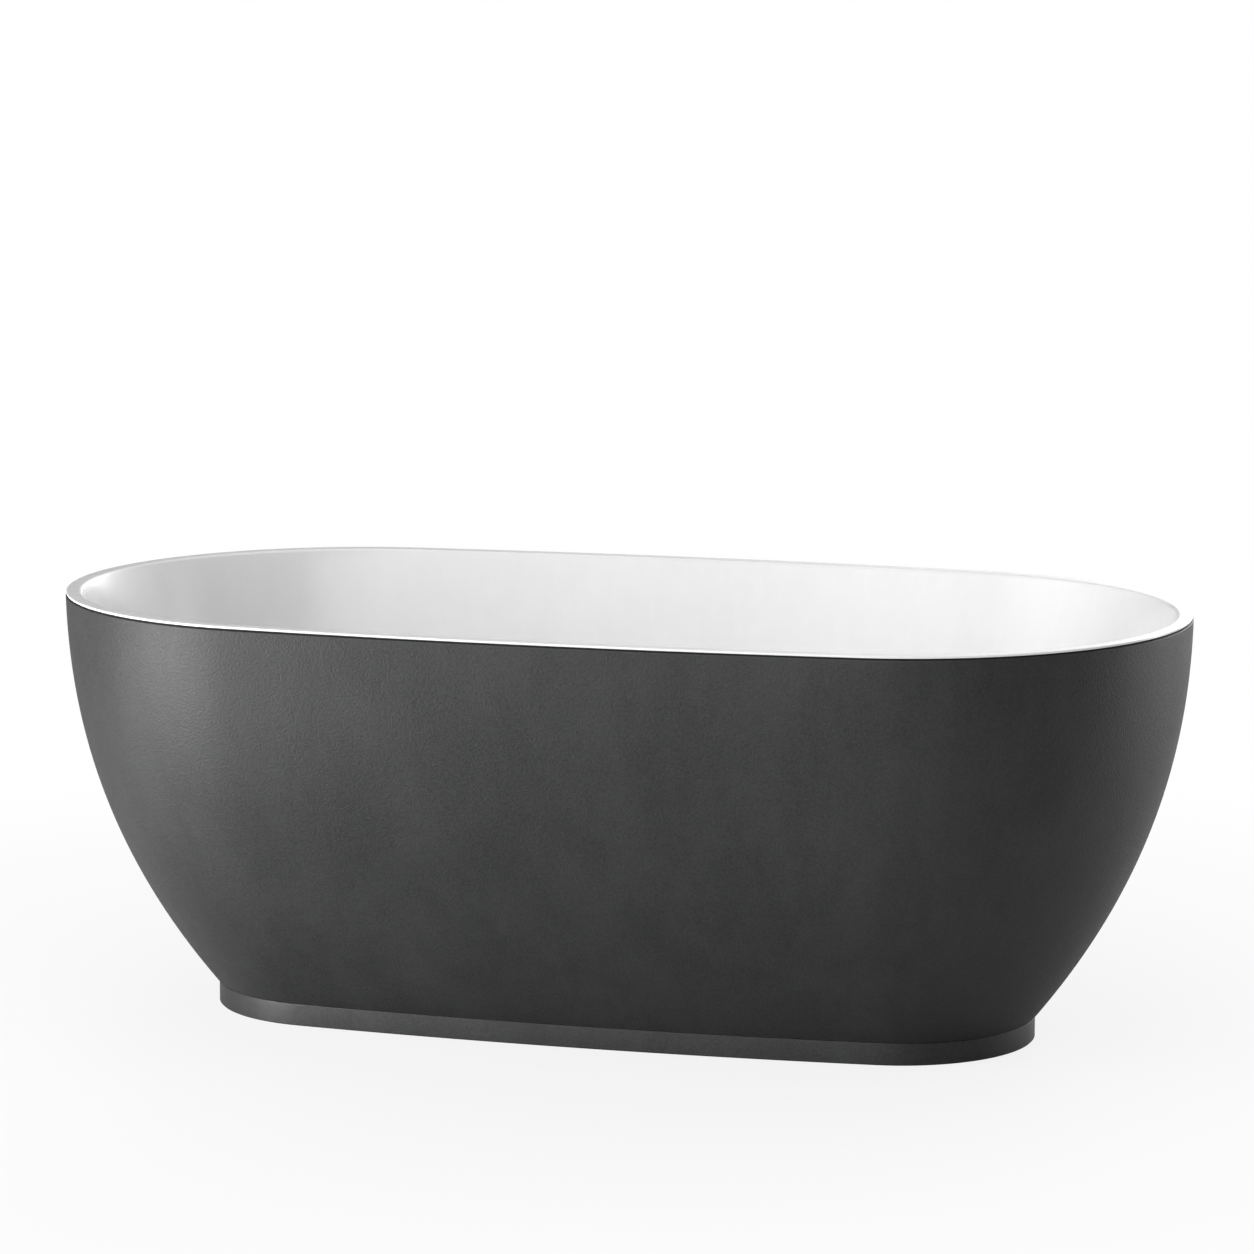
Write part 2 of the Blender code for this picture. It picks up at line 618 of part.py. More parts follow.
def overflow_place():
    """Axes on the wet face: X along the tub, Y down the wall, Z into the basin."""
    inset, slope = basin_at_height(OVERFLOW_Z)
    origin = Vector((0, inset - HALF_WIDTH, OVERFLOW_Z))
    down = Vector((0, slope.x, slope.y))
    inward = Vector((1, 0, 0)).cross(down)
    rotation = Matrix((Vector((1, 0, 0)), down, inward)).transposed()
    return Matrix.Translation(origin) @ rotation.to_4x4()


def build_overflow(chrome, rubber, plastic, hose_material):
    place = overflow_place()
    face = 0.0008
    cover = [(0, face + 0.002), (0.027, face + 0.002), (0.029, face), (0.032, face), (0.032, face + 0.003),
             (0.030, face + 0.005), (0, face + 0.006)]
    plate = add_object("overflow_cover", turned(cover, 24, on_axis=True), chrome, place)
    for offset in (-0.009, 0.0, 0.009):
        slot = block((-0.014, offset - 0.0022, -0.004), (0.014, offset + 0.0022, 0.012))
        combine(plate, add_object("overflow_slot_cutter", slot, chrome, place))
    rear = -BASIN_WALL - 0.0006
    add_object("overflow_gasket", turned(tube_profile(OVERFLOW_HOLE, 0.027, rear - 0.002, rear), 20),
               rubber, place)
    front = rear - 0.002 - GAP
    depth = 0.0195
    body = [(0.016, 0.002), (0.016, front), (0.0285, front), (0.0285, front - depth), (0, front - depth),
            (0, front - depth + 0.0025), (0.026, front - depth + 0.0025), (0.026, front - 0.0025),
            (0.0125, front - 0.0025), (0.0125, 0.002)]
    housing = add_object("overflow_body", turned_open(body, 20), plastic, place)
    down = place @ Matrix.Translation((0, 0, -OVERFLOW_SPIGOT)) @ Matrix.Rotation(-math.pi / 2, 4, "X")
    spigot = add_object("overflow_spigot_tool", rod(0.0095, 0.0265, 0.047, 14), plastic, down)
    bore = add_object("overflow_spigot_cutter", rod(0.0070, 0.020, 0.060, 14), plastic, down)
    combine(housing, spigot, "UNION")
    combine(housing, bore)
    add_object("overflow_hose_nut_top", turned(tube_profile(0.0107, 0.0128, 0.038, 0.060), 14), plastic,
               down)
    start = down @ Vector((0, 0, 0.047 + GAP))
    points = [start, down @ Vector((0, 0, 0.054)), down @ Vector((0, 0, 0.063))]
    for z in (0.375, 0.320, 0.265, 0.215):
        wet_inset, slope = basin_at_height(z)
        dry_inset = wet_inset + BASIN_WALL * slope.y
        middle = (dry_inset + skirt_inside(z)) / 2
        points.append((0, middle - HALF_WIDTH, z))
    points += [(0, -0.272, 0.165), (0, -0.243, 0.125), (0, -0.196, 0.094), (0, -0.140, PORT_Z - 0.001),
               (0, -0.085, PORT_Z), (0, -0.072, PORT_Z), (0, -0.060 - GAP, PORT_Z)]
    hose("overflow_hose", points, HOSE_RADIUS, hose_material, steps=3)
    sideways = Matrix.Translation((0, 0, PORT_Z)) @ Matrix.Rotation(math.pi / 2, 4, "X")
    add_object("overflow_hose_nut_bottom", turned(tube_profile(0.0127, 0.0155, 0.048, 0.070), 14), plastic,
               sideways)


def turned_open(profile, steps):
    """Turn a profile that meets the axis at two neighbouring points and is open between its ends."""
    split = [i for i, (r, z) in enumerate(profile) if r == 0]
    ordered = profile[split[1]:] + profile[:split[1]]
    return turned(ordered, steps, on_axis=True)


# ---------- assembly

def main():
    for thing in list(bpy.data.objects):
        bpy.data.objects.remove(thing, do_unlink=True)
    white = make_material("white_acrylic", (0.90, 0.90, 0.89), 0.12)
    charcoal = make_material("charcoal_skin", (0.075, 0.077, 0.080), 0.55)
    plinth = make_material("charcoal_plinth", (0.085, 0.087, 0.090), 0.42)
    seam = make_material("black_sealant", (0.015, 0.015, 0.016), 0.50)
    board = make_material("plywood", (0.55, 0.40, 0.25), 0.70)
    steel = make_material("galvanised_steel", (0.55, 0.56, 0.57), 0.45, 0.9)
    zinc = make_material("zinc_plated_steel", (0.65, 0.66, 0.66), 0.32, 1.0)
    rubber = make_material("black_rubber", (0.03, 0.03, 0.03), 0.75)
    chrome = make_material("polished_chrome", (0.80, 0.81, 0.82), 0.08, 1.0)
    plastic = make_material("grey_plastic", (0.62, 0.63, 0.64), 0.50)
    hose_material = make_material("grey_hose", (0.42, 0.43, 0.44), 0.55)

    build_inner_shell(white)
    build_outer_shell(charcoal)
    build_plinth(plinth)
    build_rim_seam(seam)
    build_base_board(board)
    build_rail("rail_front", -RAIL_Y, steel)
    build_rail("rail_back", RAIL_Y, steel)
    build_cradle("cradle_left", -CRADLE_X, steel)
    build_cradle("cradle_right", CRADLE_X, steel)
    for depth, outward in (("front", -1), ("back", 1)):
        for side, sign in (("left", -1), ("right", 1)):
            corner = f"{depth}_{side}"
            build_foot(corner, sign * CRADLE_X, outward * FOOT_Y, steel, zinc, rubber)
            build_skirt_bracket(f"skirt_bracket_{corner}", sign * SKIRT_BRACKET_X, outward, steel,
                                f"skirt_screw_{corner}", zinc)
            build_plinth_bracket(f"plinth_bracket_{corner}", sign * PLINTH_BRACKET_X, outward, steel)
    build_drain(chrome, rubber, plastic, zinc)
    build_trap(plastic, hose_material)
    build_overflow(chrome, rubber, plastic, hose_material)


main()
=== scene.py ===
import math

import bmesh
import bpy
from mathutils import Matrix, Vector


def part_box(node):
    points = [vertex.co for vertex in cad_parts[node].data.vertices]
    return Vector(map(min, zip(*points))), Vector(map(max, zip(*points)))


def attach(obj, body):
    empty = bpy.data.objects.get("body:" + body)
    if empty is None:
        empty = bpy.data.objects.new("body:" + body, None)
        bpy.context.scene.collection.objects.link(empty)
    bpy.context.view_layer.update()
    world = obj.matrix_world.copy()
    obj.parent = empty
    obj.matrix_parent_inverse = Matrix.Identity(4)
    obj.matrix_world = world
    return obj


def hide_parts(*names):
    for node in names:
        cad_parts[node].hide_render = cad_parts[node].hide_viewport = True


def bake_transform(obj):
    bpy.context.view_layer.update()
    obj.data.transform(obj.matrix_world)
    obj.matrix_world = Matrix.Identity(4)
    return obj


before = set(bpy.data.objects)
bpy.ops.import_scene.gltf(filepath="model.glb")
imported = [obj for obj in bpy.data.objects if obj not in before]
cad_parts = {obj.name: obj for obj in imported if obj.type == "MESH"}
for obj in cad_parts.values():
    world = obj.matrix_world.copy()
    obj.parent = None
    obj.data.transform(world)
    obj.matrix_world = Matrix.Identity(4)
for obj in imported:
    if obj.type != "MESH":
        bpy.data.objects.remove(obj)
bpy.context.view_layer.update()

scene = bpy.context.scene
level = 0.00001     # heights and gaps under this count as none
weld = 0.000002     # turned and cut shapes merge their doubles within this


# shader maths

class Sock:
    # wraps an output socket, so that maths on it adds nodes
    def __init__(self, tree, socket):
        self.tree = tree
        self.socket = socket

    def node(self, kind, settings=None, values=None, output=0):
        made = self.tree.nodes.new(kind)
        for key, value in (settings or {}).items():
            setattr(made, key, value)
        for key, value in (values or {}).items():
            if isinstance(value, Sock):
                self.tree.links.new(value.socket, made.inputs[key])
            else:
                made.inputs[key].default_value = value
        return Sock(self.tree, made.outputs[output])

    def maths(self, operation, first, second=0.0):
        return self.node("ShaderNodeMath", {"operation": operation}, {0: first, 1: second})

    def __add__(self, other):
        return self.maths("ADD", self, other)

    def __radd__(self, other):
        return self.maths("ADD", other, self)

    def __sub__(self, other):
        return self.maths("SUBTRACT", self, other)

    def __rsub__(self, other):
        return self.maths("SUBTRACT", other, self)

    def __mul__(self, other):
        return self.maths("MULTIPLY", self, other)

    def __rmul__(self, other):
        return self.maths("MULTIPLY", other, self)

    def __truediv__(self, other):
        return self.maths("DIVIDE", self, other)

    def __pow__(self, other):
        return self.maths("POWER", self, other)


def startFinish(name, sockets):
    # a Principled material with its constant sockets set, and its Object coordinates
    material = bpy.data.materials.new(name)
    material.use_nodes = True
    tree = material.node_tree
    shader = tree.nodes["Principled BSDF"]
    for key, value in sockets.items():
        shader.inputs[key].default_value = value
    return material, shader, Sock(tree, tree.nodes.new("ShaderNodeTexCoord").outputs["Object"])


def noise(at, scale, detail=2.0, rough=0.5, distort=0.0):
    return at.node("ShaderNodeTexNoise", {"noise_dimensions": "3D"},
                   {"Vector": at, "Scale": scale, "Detail": detail, "Roughness": rough,
                    "Distortion": distort}, "Fac")


def spread(mask, low, high):
    # noise stays near its middle, so its used range is stretched to 0..1
    return mask.node("ShaderNodeMapRange", {"interpolation_type": "SMOOTHSTEP"},
                     {"Value": mask, "From Min": low, "From Max": high})


def stretched(at, x, y, z):
    return at.node("ShaderNodeMapping", None, {"Vector": at, "Scale": (x, y, z)})


def axisOf(at, output):
    return at.node("ShaderNodeSeparateXYZ", None, {0: at}, output)


def tint(mask, dark, light):
    return mask.node("ShaderNodeMix", {"data_type": "RGBA"},
                     {"Factor": mask, 6: (*dark, 1), 7: (*light, 1)}, 2)


def bumped(height, strength, distance):
    return height.node("ShaderNodeBump", None,
                       {"Height": height, "Strength": strength, "Distance": distance})


def connect(shader, **links):
    names = {"colour": "Base Color", "roughness": "Roughness", "normal": "Normal", "metallic": "Metallic"}
    for key, value in links.items():
        value.tree.links.new(value.socket, shader.inputs[names[key]])


# finishes

charcoalSkin = {"dark": (0.0130, 0.0133, 0.0140), "light": (0.0335, 0.0339, 0.0350), "grain": 300.0,
                "roughness": 0.44, "relief": 0.00045, "sheen": 0.36}
charcoalPlinth = {**charcoalSkin, "roughness": 0.34, "relief": 0.00004, "sheen": 0.40}


def makeCharcoal(name, settings):
    # moulded skin: a fine sandy grain over slow cloudy patches
    material, shader, at = startFinish(name, {"Specular IOR Level": settings["sheen"]})
    grain = spread(noise(at, settings["grain"], 3.0, 0.65), 0.3, 0.7)
    patches = spread(noise(at, 7.0, 5.0, 0.62), 0.32, 0.68)
    streaks = spread(noise(stretched(at, 1.0, 1.0, 0.25), 26.0, 4.0, 0.6), 0.3, 0.7)
    mask = grain * 0.55 + patches * 0.25 + streaks * 0.20
    connect(shader, colour=tint(mask, settings["dark"], settings["light"]),
            roughness=settings["roughness"] + grain * 0.09 + patches * 0.04,
            normal=bumped(grain, 0.55, settings["relief"]))
    return material


acrylicGloss = {"shade": (0.74, 0.74, 0.74), "bright": (0.79, 0.79, 0.79), "roughness": 0.22}


def makeAcrylic(name, settings):
    material, shader, at = startFinish(name, {"IOR": 1.49, "Coat Weight": 0.15, "Coat Roughness": 0.18})
    drift = spread(noise(at, 3.0, 3.0), 0.3, 0.7)
    wipe = spread(noise(stretched(at, 1.0, 1.0, 0.4), 45.0, 5.0, 0.62), 0.35, 0.7)
    connect(shader, colour=tint(drift * 0.7 + wipe * 0.3, settings["shade"], settings["bright"]),
            roughness=settings["roughness"] + wipe * 0.05, normal=bumped(drift, 0.06, 0.002))
    return material


def makeRubber(name, level):
    material, shader, at = startFinish(name, {"Specular IOR Level": 0.35})
    grain = spread(noise(at, 900.0, 3.0), 0.3, 0.7)
    bloom = spread(noise(at, 60.0, 4.0, 0.6), 0.4, 0.7)
    connect(shader, colour=tint(grain * 0.5 + bloom * 0.5, (level,) * 3, (level * 2.4,) * 3),
            roughness=0.52 + grain * 0.2 + bloom * 0.1, normal=bumped(grain, 0.4, 0.0001))
    return material


def makeChrome(name):
    material, shader, at = startFinish(name, {"Metallic": 1.0})
    smudge = spread(noise(at, 55.0, 5.0, 0.65), 0.35, 0.7)
    polish = noise(stretched(at, 1.0, 1.0, 14.0), 500.0, 2.0)
    connect(shader, colour=tint(smudge, (0.76, 0.77, 0.79), (0.84, 0.85, 0.86)),
            roughness=0.05 + smudge * 0.08, normal=bumped(polish, 0.04, 0.00005))
    return material


def makeGalvanised(name):
    # hot-dip zinc: flakes of spangle over a fine tooth
    material, shader, at = startFinish(name, {})
    spangle = at.node("ShaderNodeTexVoronoi", {"feature": "F1"}, {"Vector": at, "Scale": 150.0}, "Color")
    flake = spangle.node("ShaderNodeSeparateColor", None, {0: spangle})
    fine = spread(noise(at, 700.0, 4.0), 0.3, 0.7)
    dull = spread(noise(at, 18.0, 4.0, 0.6), 0.35, 0.7)
    connect(shader, colour=tint(flake * 0.6 + dull * 0.4, (0.38, 0.39, 0.41), (0.62, 0.63, 0.64)),
            roughness=0.32 + flake * 0.15 + fine * 0.08, metallic=0.85 + dull * 0.1,
            normal=bumped(fine, 0.2, 0.00008))
    return material


def makeZinc(name):
    material, shader, at = startFinish(name, {"Metallic": 1.0})
    fine = spread(noise(at, 900.0, 4.0), 0.3, 0.7)
    cloud = spread(noise(at, 70.0, 4.0), 0.35, 0.7)
    connect(shader, colour=tint(cloud, (0.52, 0.54, 0.57), (0.72, 0.72, 0.69)),
            roughness=0.20 + fine * 0.14 + cloud * 0.06, normal=bumped(fine, 0.15, 0.00005))
    return material


def makeMoulded(name, dark, light, roughness):
    material, shader, at = startFinish(name, {"Specular IOR Level": 0.45})
    fine = spread(noise(at, 1100.0, 3.0), 0.3, 0.7)
    flow = spread(noise(stretched(at, 1.0, 1.0, 0.5), 35.0, 4.0), 0.3, 0.7)
    connect(shader, colour=tint(flow * 0.6 + fine * 0.4, dark, light),
            roughness=roughness + fine * 0.12, normal=bumped(fine, 0.3, 0.00008))
    return material


def makePlywood(name, ply):
    # long grain on the faces, thin dark and light plies on the edge
    material, shader, at = startFinish(name, {"Specular IOR Level": 0.3})
    grain = spread(noise(stretched(at, 1.0, 16.0, 4.0), 9.0, 6.0, 0.65, 0.6), 0.3, 0.7)
    pores = spread(noise(stretched(at, 4.0, 90.0, 20.0), 14.0, 3.0), 0.55, 0.7)
    depth = axisOf(at, 2) / ply
    plies = spread(depth.maths("PINGPONG", depth, 1.0), 0.4, 0.6)
    wood = grain * 0.6 + plies * 0.3 - pores * 0.2
    connect(shader, colour=tint(wood, (0.42, 0.27, 0.14), (0.72, 0.55, 0.36)),
            roughness=0.5 + grain * 0.2, normal=bumped(grain - pores, 0.3, 0.0003))
    return material


finishes = {
    "white_acrylic": makeAcrylic("glossAcrylic", acrylicGloss),
    "charcoal_skin": makeCharcoal("charcoalSkin", charcoalSkin),
    "charcoal_plinth": makeCharcoal("charcoalPlinth", charcoalPlinth),
    "seam_sealant": makeRubber("blackSealant", 0.006),
    "board": makePlywood("birchPly", 0.0026),
    "frame_steel": makeGalvanised("galvanisedSteel"),
    "zinc_steel": makeZinc("zincPlate"),
    "rubber": makeRubber("blackRubber", 0.012),
    "chrome": makeChrome("polishedChrome"),
    "waste_plastic": makeMoulded("greyMoulding", (0.46, 0.47, 0.48), (0.60, 0.61, 0.62), 0.34),
    "hose_plastic": makeMoulded("greyHose", (0.30, 0.31, 0.32), (0.42, 0.43, 0.44), 0.40),
}
print("finishes ready")


# shaping helpers

onX, onY = Matrix.Rotation(math.pi / 2, 4, "Y"), Matrix.Rotation(math.pi / 2, 4, "X")


def outlined(points, soften=0.0, closed=True):
    # a section in the XZ plane; a closed one may have its corners rounded, and loses edges on the axis
    bm = bmesh.new()
    verts = [bm.verts.new((x, 0, z)) for x, z in points]
    if not closed:
        for pair in zip(verts, verts[1:]):
            bm.edges.new(pair)
        return bm
    bm.faces.new(verts)
    if soften:
        corners = [vert for vert in verts if vert.co.x > weld / 2]
        bmesh.ops.bevel(bm, geom=corners, offset=soften, offset_type="OFFSET", affect="VERTICES",
                        segments=3, profile=0.5, material=-1)
    bmesh.ops.delete(bm, geom=bm.faces[:], context="FACES_ONLY")
    onAxis = [edge for edge in bm.edges if all(abs(vert.co.x) < weld / 2 for vert in edge.verts)]
    bmesh.ops.delete(bm, geom=onAxis, context="EDGES")
    return bm


def turned(points, place=Matrix(), soften=0.0, steps=64):
    # a section of (radius, height) spun once round its axis
    bm = outlined(points, soften)
    bmesh.ops.spin(bm, geom=bm.verts[:] + bm.edges[:], cent=(0, 0, 0), axis=(0, 0, 1),
                   angle=2 * math.pi, steps=steps, use_merge=True)
    bmesh.ops.remove_doubles(bm, verts=bm.verts, dist=weld)
    return placed(bm, place)


def placed(bm, place):
    bmesh.ops.transform(bm, matrix=place, verts=bm.verts)
    bmesh.ops.recalc_face_normals(bm, faces=bm.faces)
    return bm


def ring(inner, outer, low, high, place=Matrix(), soften=0.0004, steps=64):
    return turned([(inner, low), (outer, low), (outer, high), (inner, high)], place, soften, steps)


def joined(*shapes):
    # several closed shapes in one bmesh
    whole = shapes[0]
    for shape in shapes[1:]:
        carrier = bpy.data.meshes.new("carrier")
        shape.to_mesh(carrier)
        shape.free()
        whole.from_mesh(carrier)
        bpy.data.meshes.remove(carrier)
    return whole


def asObject(bm, name):
    mesh = bpy.data.meshes.new(name)
    bm.to_mesh(mesh)
    bm.free()
    thing = bpy.data.objects.new(name, mesh)
    scene.collection.objects.link(thing)
    return thing


def combined(bm, toolBm, operation="DIFFERENCE"):
    # one closed shape added to or cut from another
    target, tool = asObject(bm, "target"), asObject(toolBm, "tool")
    change = target.modifiers.new("change", "BOOLEAN")
    change.operation = operation
    change.solver = "EXACT"
    change.object = tool
    depsgraph = bpy.context.evaluated_depsgraph_get()
    result = bmesh.new()
    result.from_object(target, depsgraph)
    for thing in (target, tool):
        mesh = thing.data
        bpy.data.objects.remove(thing)
        bpy.data.meshes.remove(mesh)
    bmesh.ops.remove_doubles(result, verts=result.verts, dist=weld)
    return result


def softened(node, width, segments=3, turn=30.0):
    # a copy of a CAD part with its loose triangles merged and its sharp edges rounded
    bm = bmesh.new()
    bm.from_mesh(bpy.data.objects[node].data)
    bmesh.ops.remove_doubles(bm, verts=bm.verts, dist=0.000005)
    bmesh.ops.dissolve_limit(bm, angle_limit=math.radians(1.0), verts=bm.verts, edges=bm.edges)
    sharp = [edge for edge in bm.edges
             if edge.is_manifold and edge.calc_face_angle() > math.radians(turn)]
    return bevelled(bm, sharp, width, segments, clamp_overlap=True)


def bevelled(bm, edges, width, segments=2, **more):
    bmesh.ops.bevel(bm, geom=edges, offset=width, offset_type="OFFSET", affect="EDGES", segments=segments,
                    profile=0.5, material=-1, **more)
    return bm


def pieceFrom(bm, name, cadNodes, body, slotName, sharp=35.0):
    # the finished mesh rides on its body, if it has one, and stands for its CAD nodes
    bmesh.ops.recalc_face_normals(bm, faces=bm.faces)
    piece = asObject(bm, name)
    piece.data.shade_smooth()
    piece.data.set_sharp_from_angle(angle=math.radians(sharp))
    piece.data.materials.append(finishes[slotName])
    if body:
        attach(piece, body)
    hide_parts(*cadNodes)
    return piece


def arc(centre, radius, first, last, steps):
    turns = [math.radians(first + (last - first) * i / steps) for i in range(steps + 1)]
    return [Vector((centre[0] + radius * math.cos(turn), centre[1] + radius * math.sin(turn)))
            for turn in turns]


# the tub's own curves, as (inset from the plan outline, height)

tub = {"endRadius": 0.402, "endSteps": 60, "sideSteps": 20, "skirtTaper": 0.2092, "skirtLinear": 0.038,
       "skirtCubic": 0.239, "rimFlat": 0.0180, "rimRadius": 0.0055, "lean": math.radians(15.2),
       "curveDrop": 0.198, "floorInset": 0.250, "floorHandle": 0.120, "floor": 0.155, "wall": 0.006}
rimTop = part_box("inner_shell")[1].z
skirtFoot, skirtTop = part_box("outer_shell")[0].z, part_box("outer_shell")[1].z
halfLength, halfWidth = 0.800, 0.420
endCentre = halfLength - tub["endRadius"]
sideRadius = endCentre ** 2 + halfWidth ** 2 - tub["endRadius"] ** 2
sideRadius /= 2 * (halfWidth - tub["endRadius"])
sideCentre = sideRadius - halfWidth
joinAngle = math.atan2(sideCentre, endCentre)


def skirtInset(z):
    fall = (rimTop - z) / (rimTop - skirtFoot)
    linear, cubic = tub["skirtLinear"], tub["skirtCubic"]
    return tub["skirtTaper"] * (linear * fall + (1 - linear - cubic) * fall ** 2 + cubic * fall ** 3)


def wallPoint(t):
    # the wet face, from the rim's inner edge at 0 to the floor at 1
    lean = tub["lean"]
    start = Vector((tub["rimFlat"] + tub["rimRadius"] * math.cos(lean),
                    rimTop - tub["rimRadius"] * (1 - math.sin(lean))))
    down = start + tub["curveDrop"] * Vector((math.sin(lean), -math.cos(lean)))
    end = Vector((tub["floorInset"], tub["floor"]))
    along = end - Vector((tub["floorHandle"], 0))
    s = 1 - t
    return s ** 3 * start + 3 * s * s * t * down + 3 * s * t * t * along + t ** 3 * end


def shifted(points, distance):
    # a line moved sideways, to its left for a positive distance
    moved = []
    for i, point in enumerate(points):
        before, after = points[max(0, i - 1)], points[min(len(points) - 1, i + 1)]
        run = (Vector(after) - Vector(before)).normalized()
        moved.append(Vector(point) + distance * Vector((-run.y, run.x)))
    return moved


def sweptOval(profile, closed=True):
    # the section is spun round one end, then round half a side, and mirrored twice
    bm = outlined([(halfLength - inset, z) for inset, z in profile], closed=closed)
    turn = bmesh.ops.spin(bm, geom=bm.verts[:] + bm.edges[:], cent=(endCentre, 0, 0), axis=(0, 0, 1),
                          angle=joinAngle, steps=tub["endSteps"])
    bmesh.ops.spin(bm, geom=turn["geom_last"], cent=(0, -sideCentre, 0), axis=(0, 0, 1),
                   angle=math.pi / 2 - joinAngle, steps=tub["sideSteps"])
    for axis in ("Y", "X"):
        whole = bm.verts[:] + bm.edges[:] + bm.faces[:]
        bmesh.ops.mirror(bm, geom=whole, merge_dist=level, axis=axis)
    bmesh.ops.remove_doubles(bm, verts=bm.verts, dist=level)
    return bm


# outer skirt, plinth and seam

skirt = {"wall": 0.005, "lip": 0.014, "edge": 0.0015, "steps": 56, "edgeSteps": 5, "footLedge": 0.004,
         "clear": 0.002}


def makeSkirt():
    lip, wall, steps = skirt["lip"], skirt["wall"], skirt["steps"]
    drop = skirtFoot - skirtTop + skirt["edge"]
    heights = [skirtTop - skirt["edge"] + drop * i / steps for i in range(steps + 1)]
    outside = [Vector((skirtInset(z), z)) for z in heights]
    edge = arc((skirt["edge"] + 0.0001, skirtTop - skirt["edge"]), skirt["edge"], 90, 170,
               skirt["edgeSteps"])
    inside = [point for point in shifted(outside, wall)
              if skirtFoot + wall + skirt["clear"] < point.y < skirtTop - wall - skirt["clear"]]
    lipFoot = tub["skirtTaper"] + lip
    profile = edge + outside
    profile += [Vector((lipFoot, skirtFoot)), Vector((lipFoot, skirtFoot + wall))]
    profile += [Vector((tub["skirtTaper"] + skirt["footLedge"], skirtFoot + wall))] + inside[::-1]
    profile += [Vector((lip, skirtTop - wall)), Vector((lip, skirtTop))]
    return pieceFrom(sweptOval(profile), "outerSkirt", ["outer_shell"], "root", "charcoal_skin", 40)


plinth = {"inset": 0.2096, "wall": 0.010, "foot": 0.0015, "edge": 0.0010, "innerEdge": 0.001}


def makePlinth():
    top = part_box("plinth")[1].z
    inset, inner = plinth["inset"], plinth["inset"] + plinth["wall"]
    profile = arc((inset + plinth["edge"], top - plinth["edge"]), plinth["edge"], 90, 180, 5)
    profile += [Vector((inset, plinth["foot"])), Vector((inset + plinth["foot"], 0.0))]
    cut = plinth["innerEdge"]
    profile += [Vector((inner - cut, 0.0)), Vector((inner, cut)), Vector((inner, top - cut)),
                Vector((inner - cut, top))]
    return pieceFrom(sweptOval(profile), "plinthBand", ["plinth"], "root", "charcoal_plinth", 40)


seam = {"depth": 0.0098, "steps": 8}


def makeSeam():
    low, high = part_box("rim_seam")
    middle, half = (low.z + high.z) / 2, (high.z - low.z) / 2
    outer = halfLength - high.x
    inner, steps = outer + seam["depth"], seam["steps"]
    profile = arc((outer + half, middle), half, 90, 270, steps)
    profile += arc((inner - half, middle), half, 270, 450, steps)
    return pieceFrom(sweptOval(profile), "rimSeam", ["rim_seam"], "root", "seam_sealant", 60)


# white basin

basin = {"inset": 0.0010, "edge": 0.0008, "flange": 0.003, "recess": 0.038, "recessDepth": 0.002,
         "hole": 0.026, "wallSteps": 52, "overflowHole": 0.0175, "drySteps": 30, "dryStart": 0.04,
         "flangeFall": 0.005, "flangeCut": 0.002, "rimSteps": 12, "drill": 0.02}
overflowPlace = Matrix.Translation((0, -0.368215, 0.485)) @ Matrix((
    (1, 0, 0), (0, 0.263935, 0.964541), (0, -0.964541, 0.263935))).to_4x4()


def bridgedToCircle(bm, z, radius):
    # joins the open oval at a height to a new circle there
    loop = [edge for edge in bm.edges
            if edge.is_boundary and all(abs(vert.co.z - z) < level for vert in edge.verts)]
    circle = bmesh.ops.create_circle(bm, segments=len(loop), radius=radius,
                                     matrix=Matrix.Translation((0, 0, z)))
    inner = list({edge for vert in circle["verts"] for edge in vert.link_edges})
    bmesh.ops.bridge_loops(bm, edges=loop + inner)
    return inner


def makeBasin():
    inset, edge, wall = basin["inset"], basin["edge"], tub["wall"]
    under, underside = rimTop - basin["flange"], tub["floor"] - tub["wall"]
    first, steps = basin["dryStart"], basin["drySteps"]
    dry = shifted([wallPoint(first + (1 - first) * i / steps) for i in range(steps + 1)], -wall)
    dry[-1] = Vector((tub["floorInset"], underside))
    profile = dry[::-1] + [Vector((tub["rimFlat"], under - basin["flangeFall"]))]
    profile += [Vector((tub["rimFlat"] - basin["flangeCut"], under))]
    profile += [Vector((inset + edge / 2, under)), Vector((inset, under + edge / 2))]
    profile += arc((inset + edge, rimTop - edge), edge, 180, 90, 6)
    profile += arc((tub["rimFlat"], rimTop - tub["rimRadius"]), tub["rimRadius"], 90,
                   math.degrees(tub["lean"]), basin["rimSteps"])[:-1]
    profile += [wallPoint(i / basin["wallSteps"]) for i in range(basin["wallSteps"] + 1)]
    bm = sweptOval(profile, closed=False)
    # floor to the drain's recess, down its step, over its seat, through the hole and out below
    recess = bridgedToCircle(bm, tub["floor"], basin["recess"])
    step = bmesh.ops.extrude_edge_only(bm, edges=recess)
    stepVerts = [item for item in step["geom"] if isinstance(item, bmesh.types.BMVert)]
    bmesh.ops.translate(bm, vec=(0, 0, -basin["recessDepth"]), verts=stepVerts)
    hole = bridgedToCircle(bm, tub["floor"] - basin["recessDepth"], basin["hole"])
    lower = bridgedToCircle(bm, underside, basin["hole"])
    bmesh.ops.bridge_loops(bm, edges=hole + lower)
    bmesh.ops.recalc_face_normals(bm, faces=bm.faces)
    bore, reach = basin["overflowHole"], basin["drill"]
    drill = turned([(0, -reach), (bore, -reach), (bore, reach), (0, reach)], overflowPlace)
    bm = combined(bm, drill)
    return pieceFrom(bm, "basin", ["inner_shell"], "root", "white_acrylic", 40)


makeSkirt()
makePlinth()
makeSeam()
makeBasin()
print("shells ready")


# drain in the middle of the floor

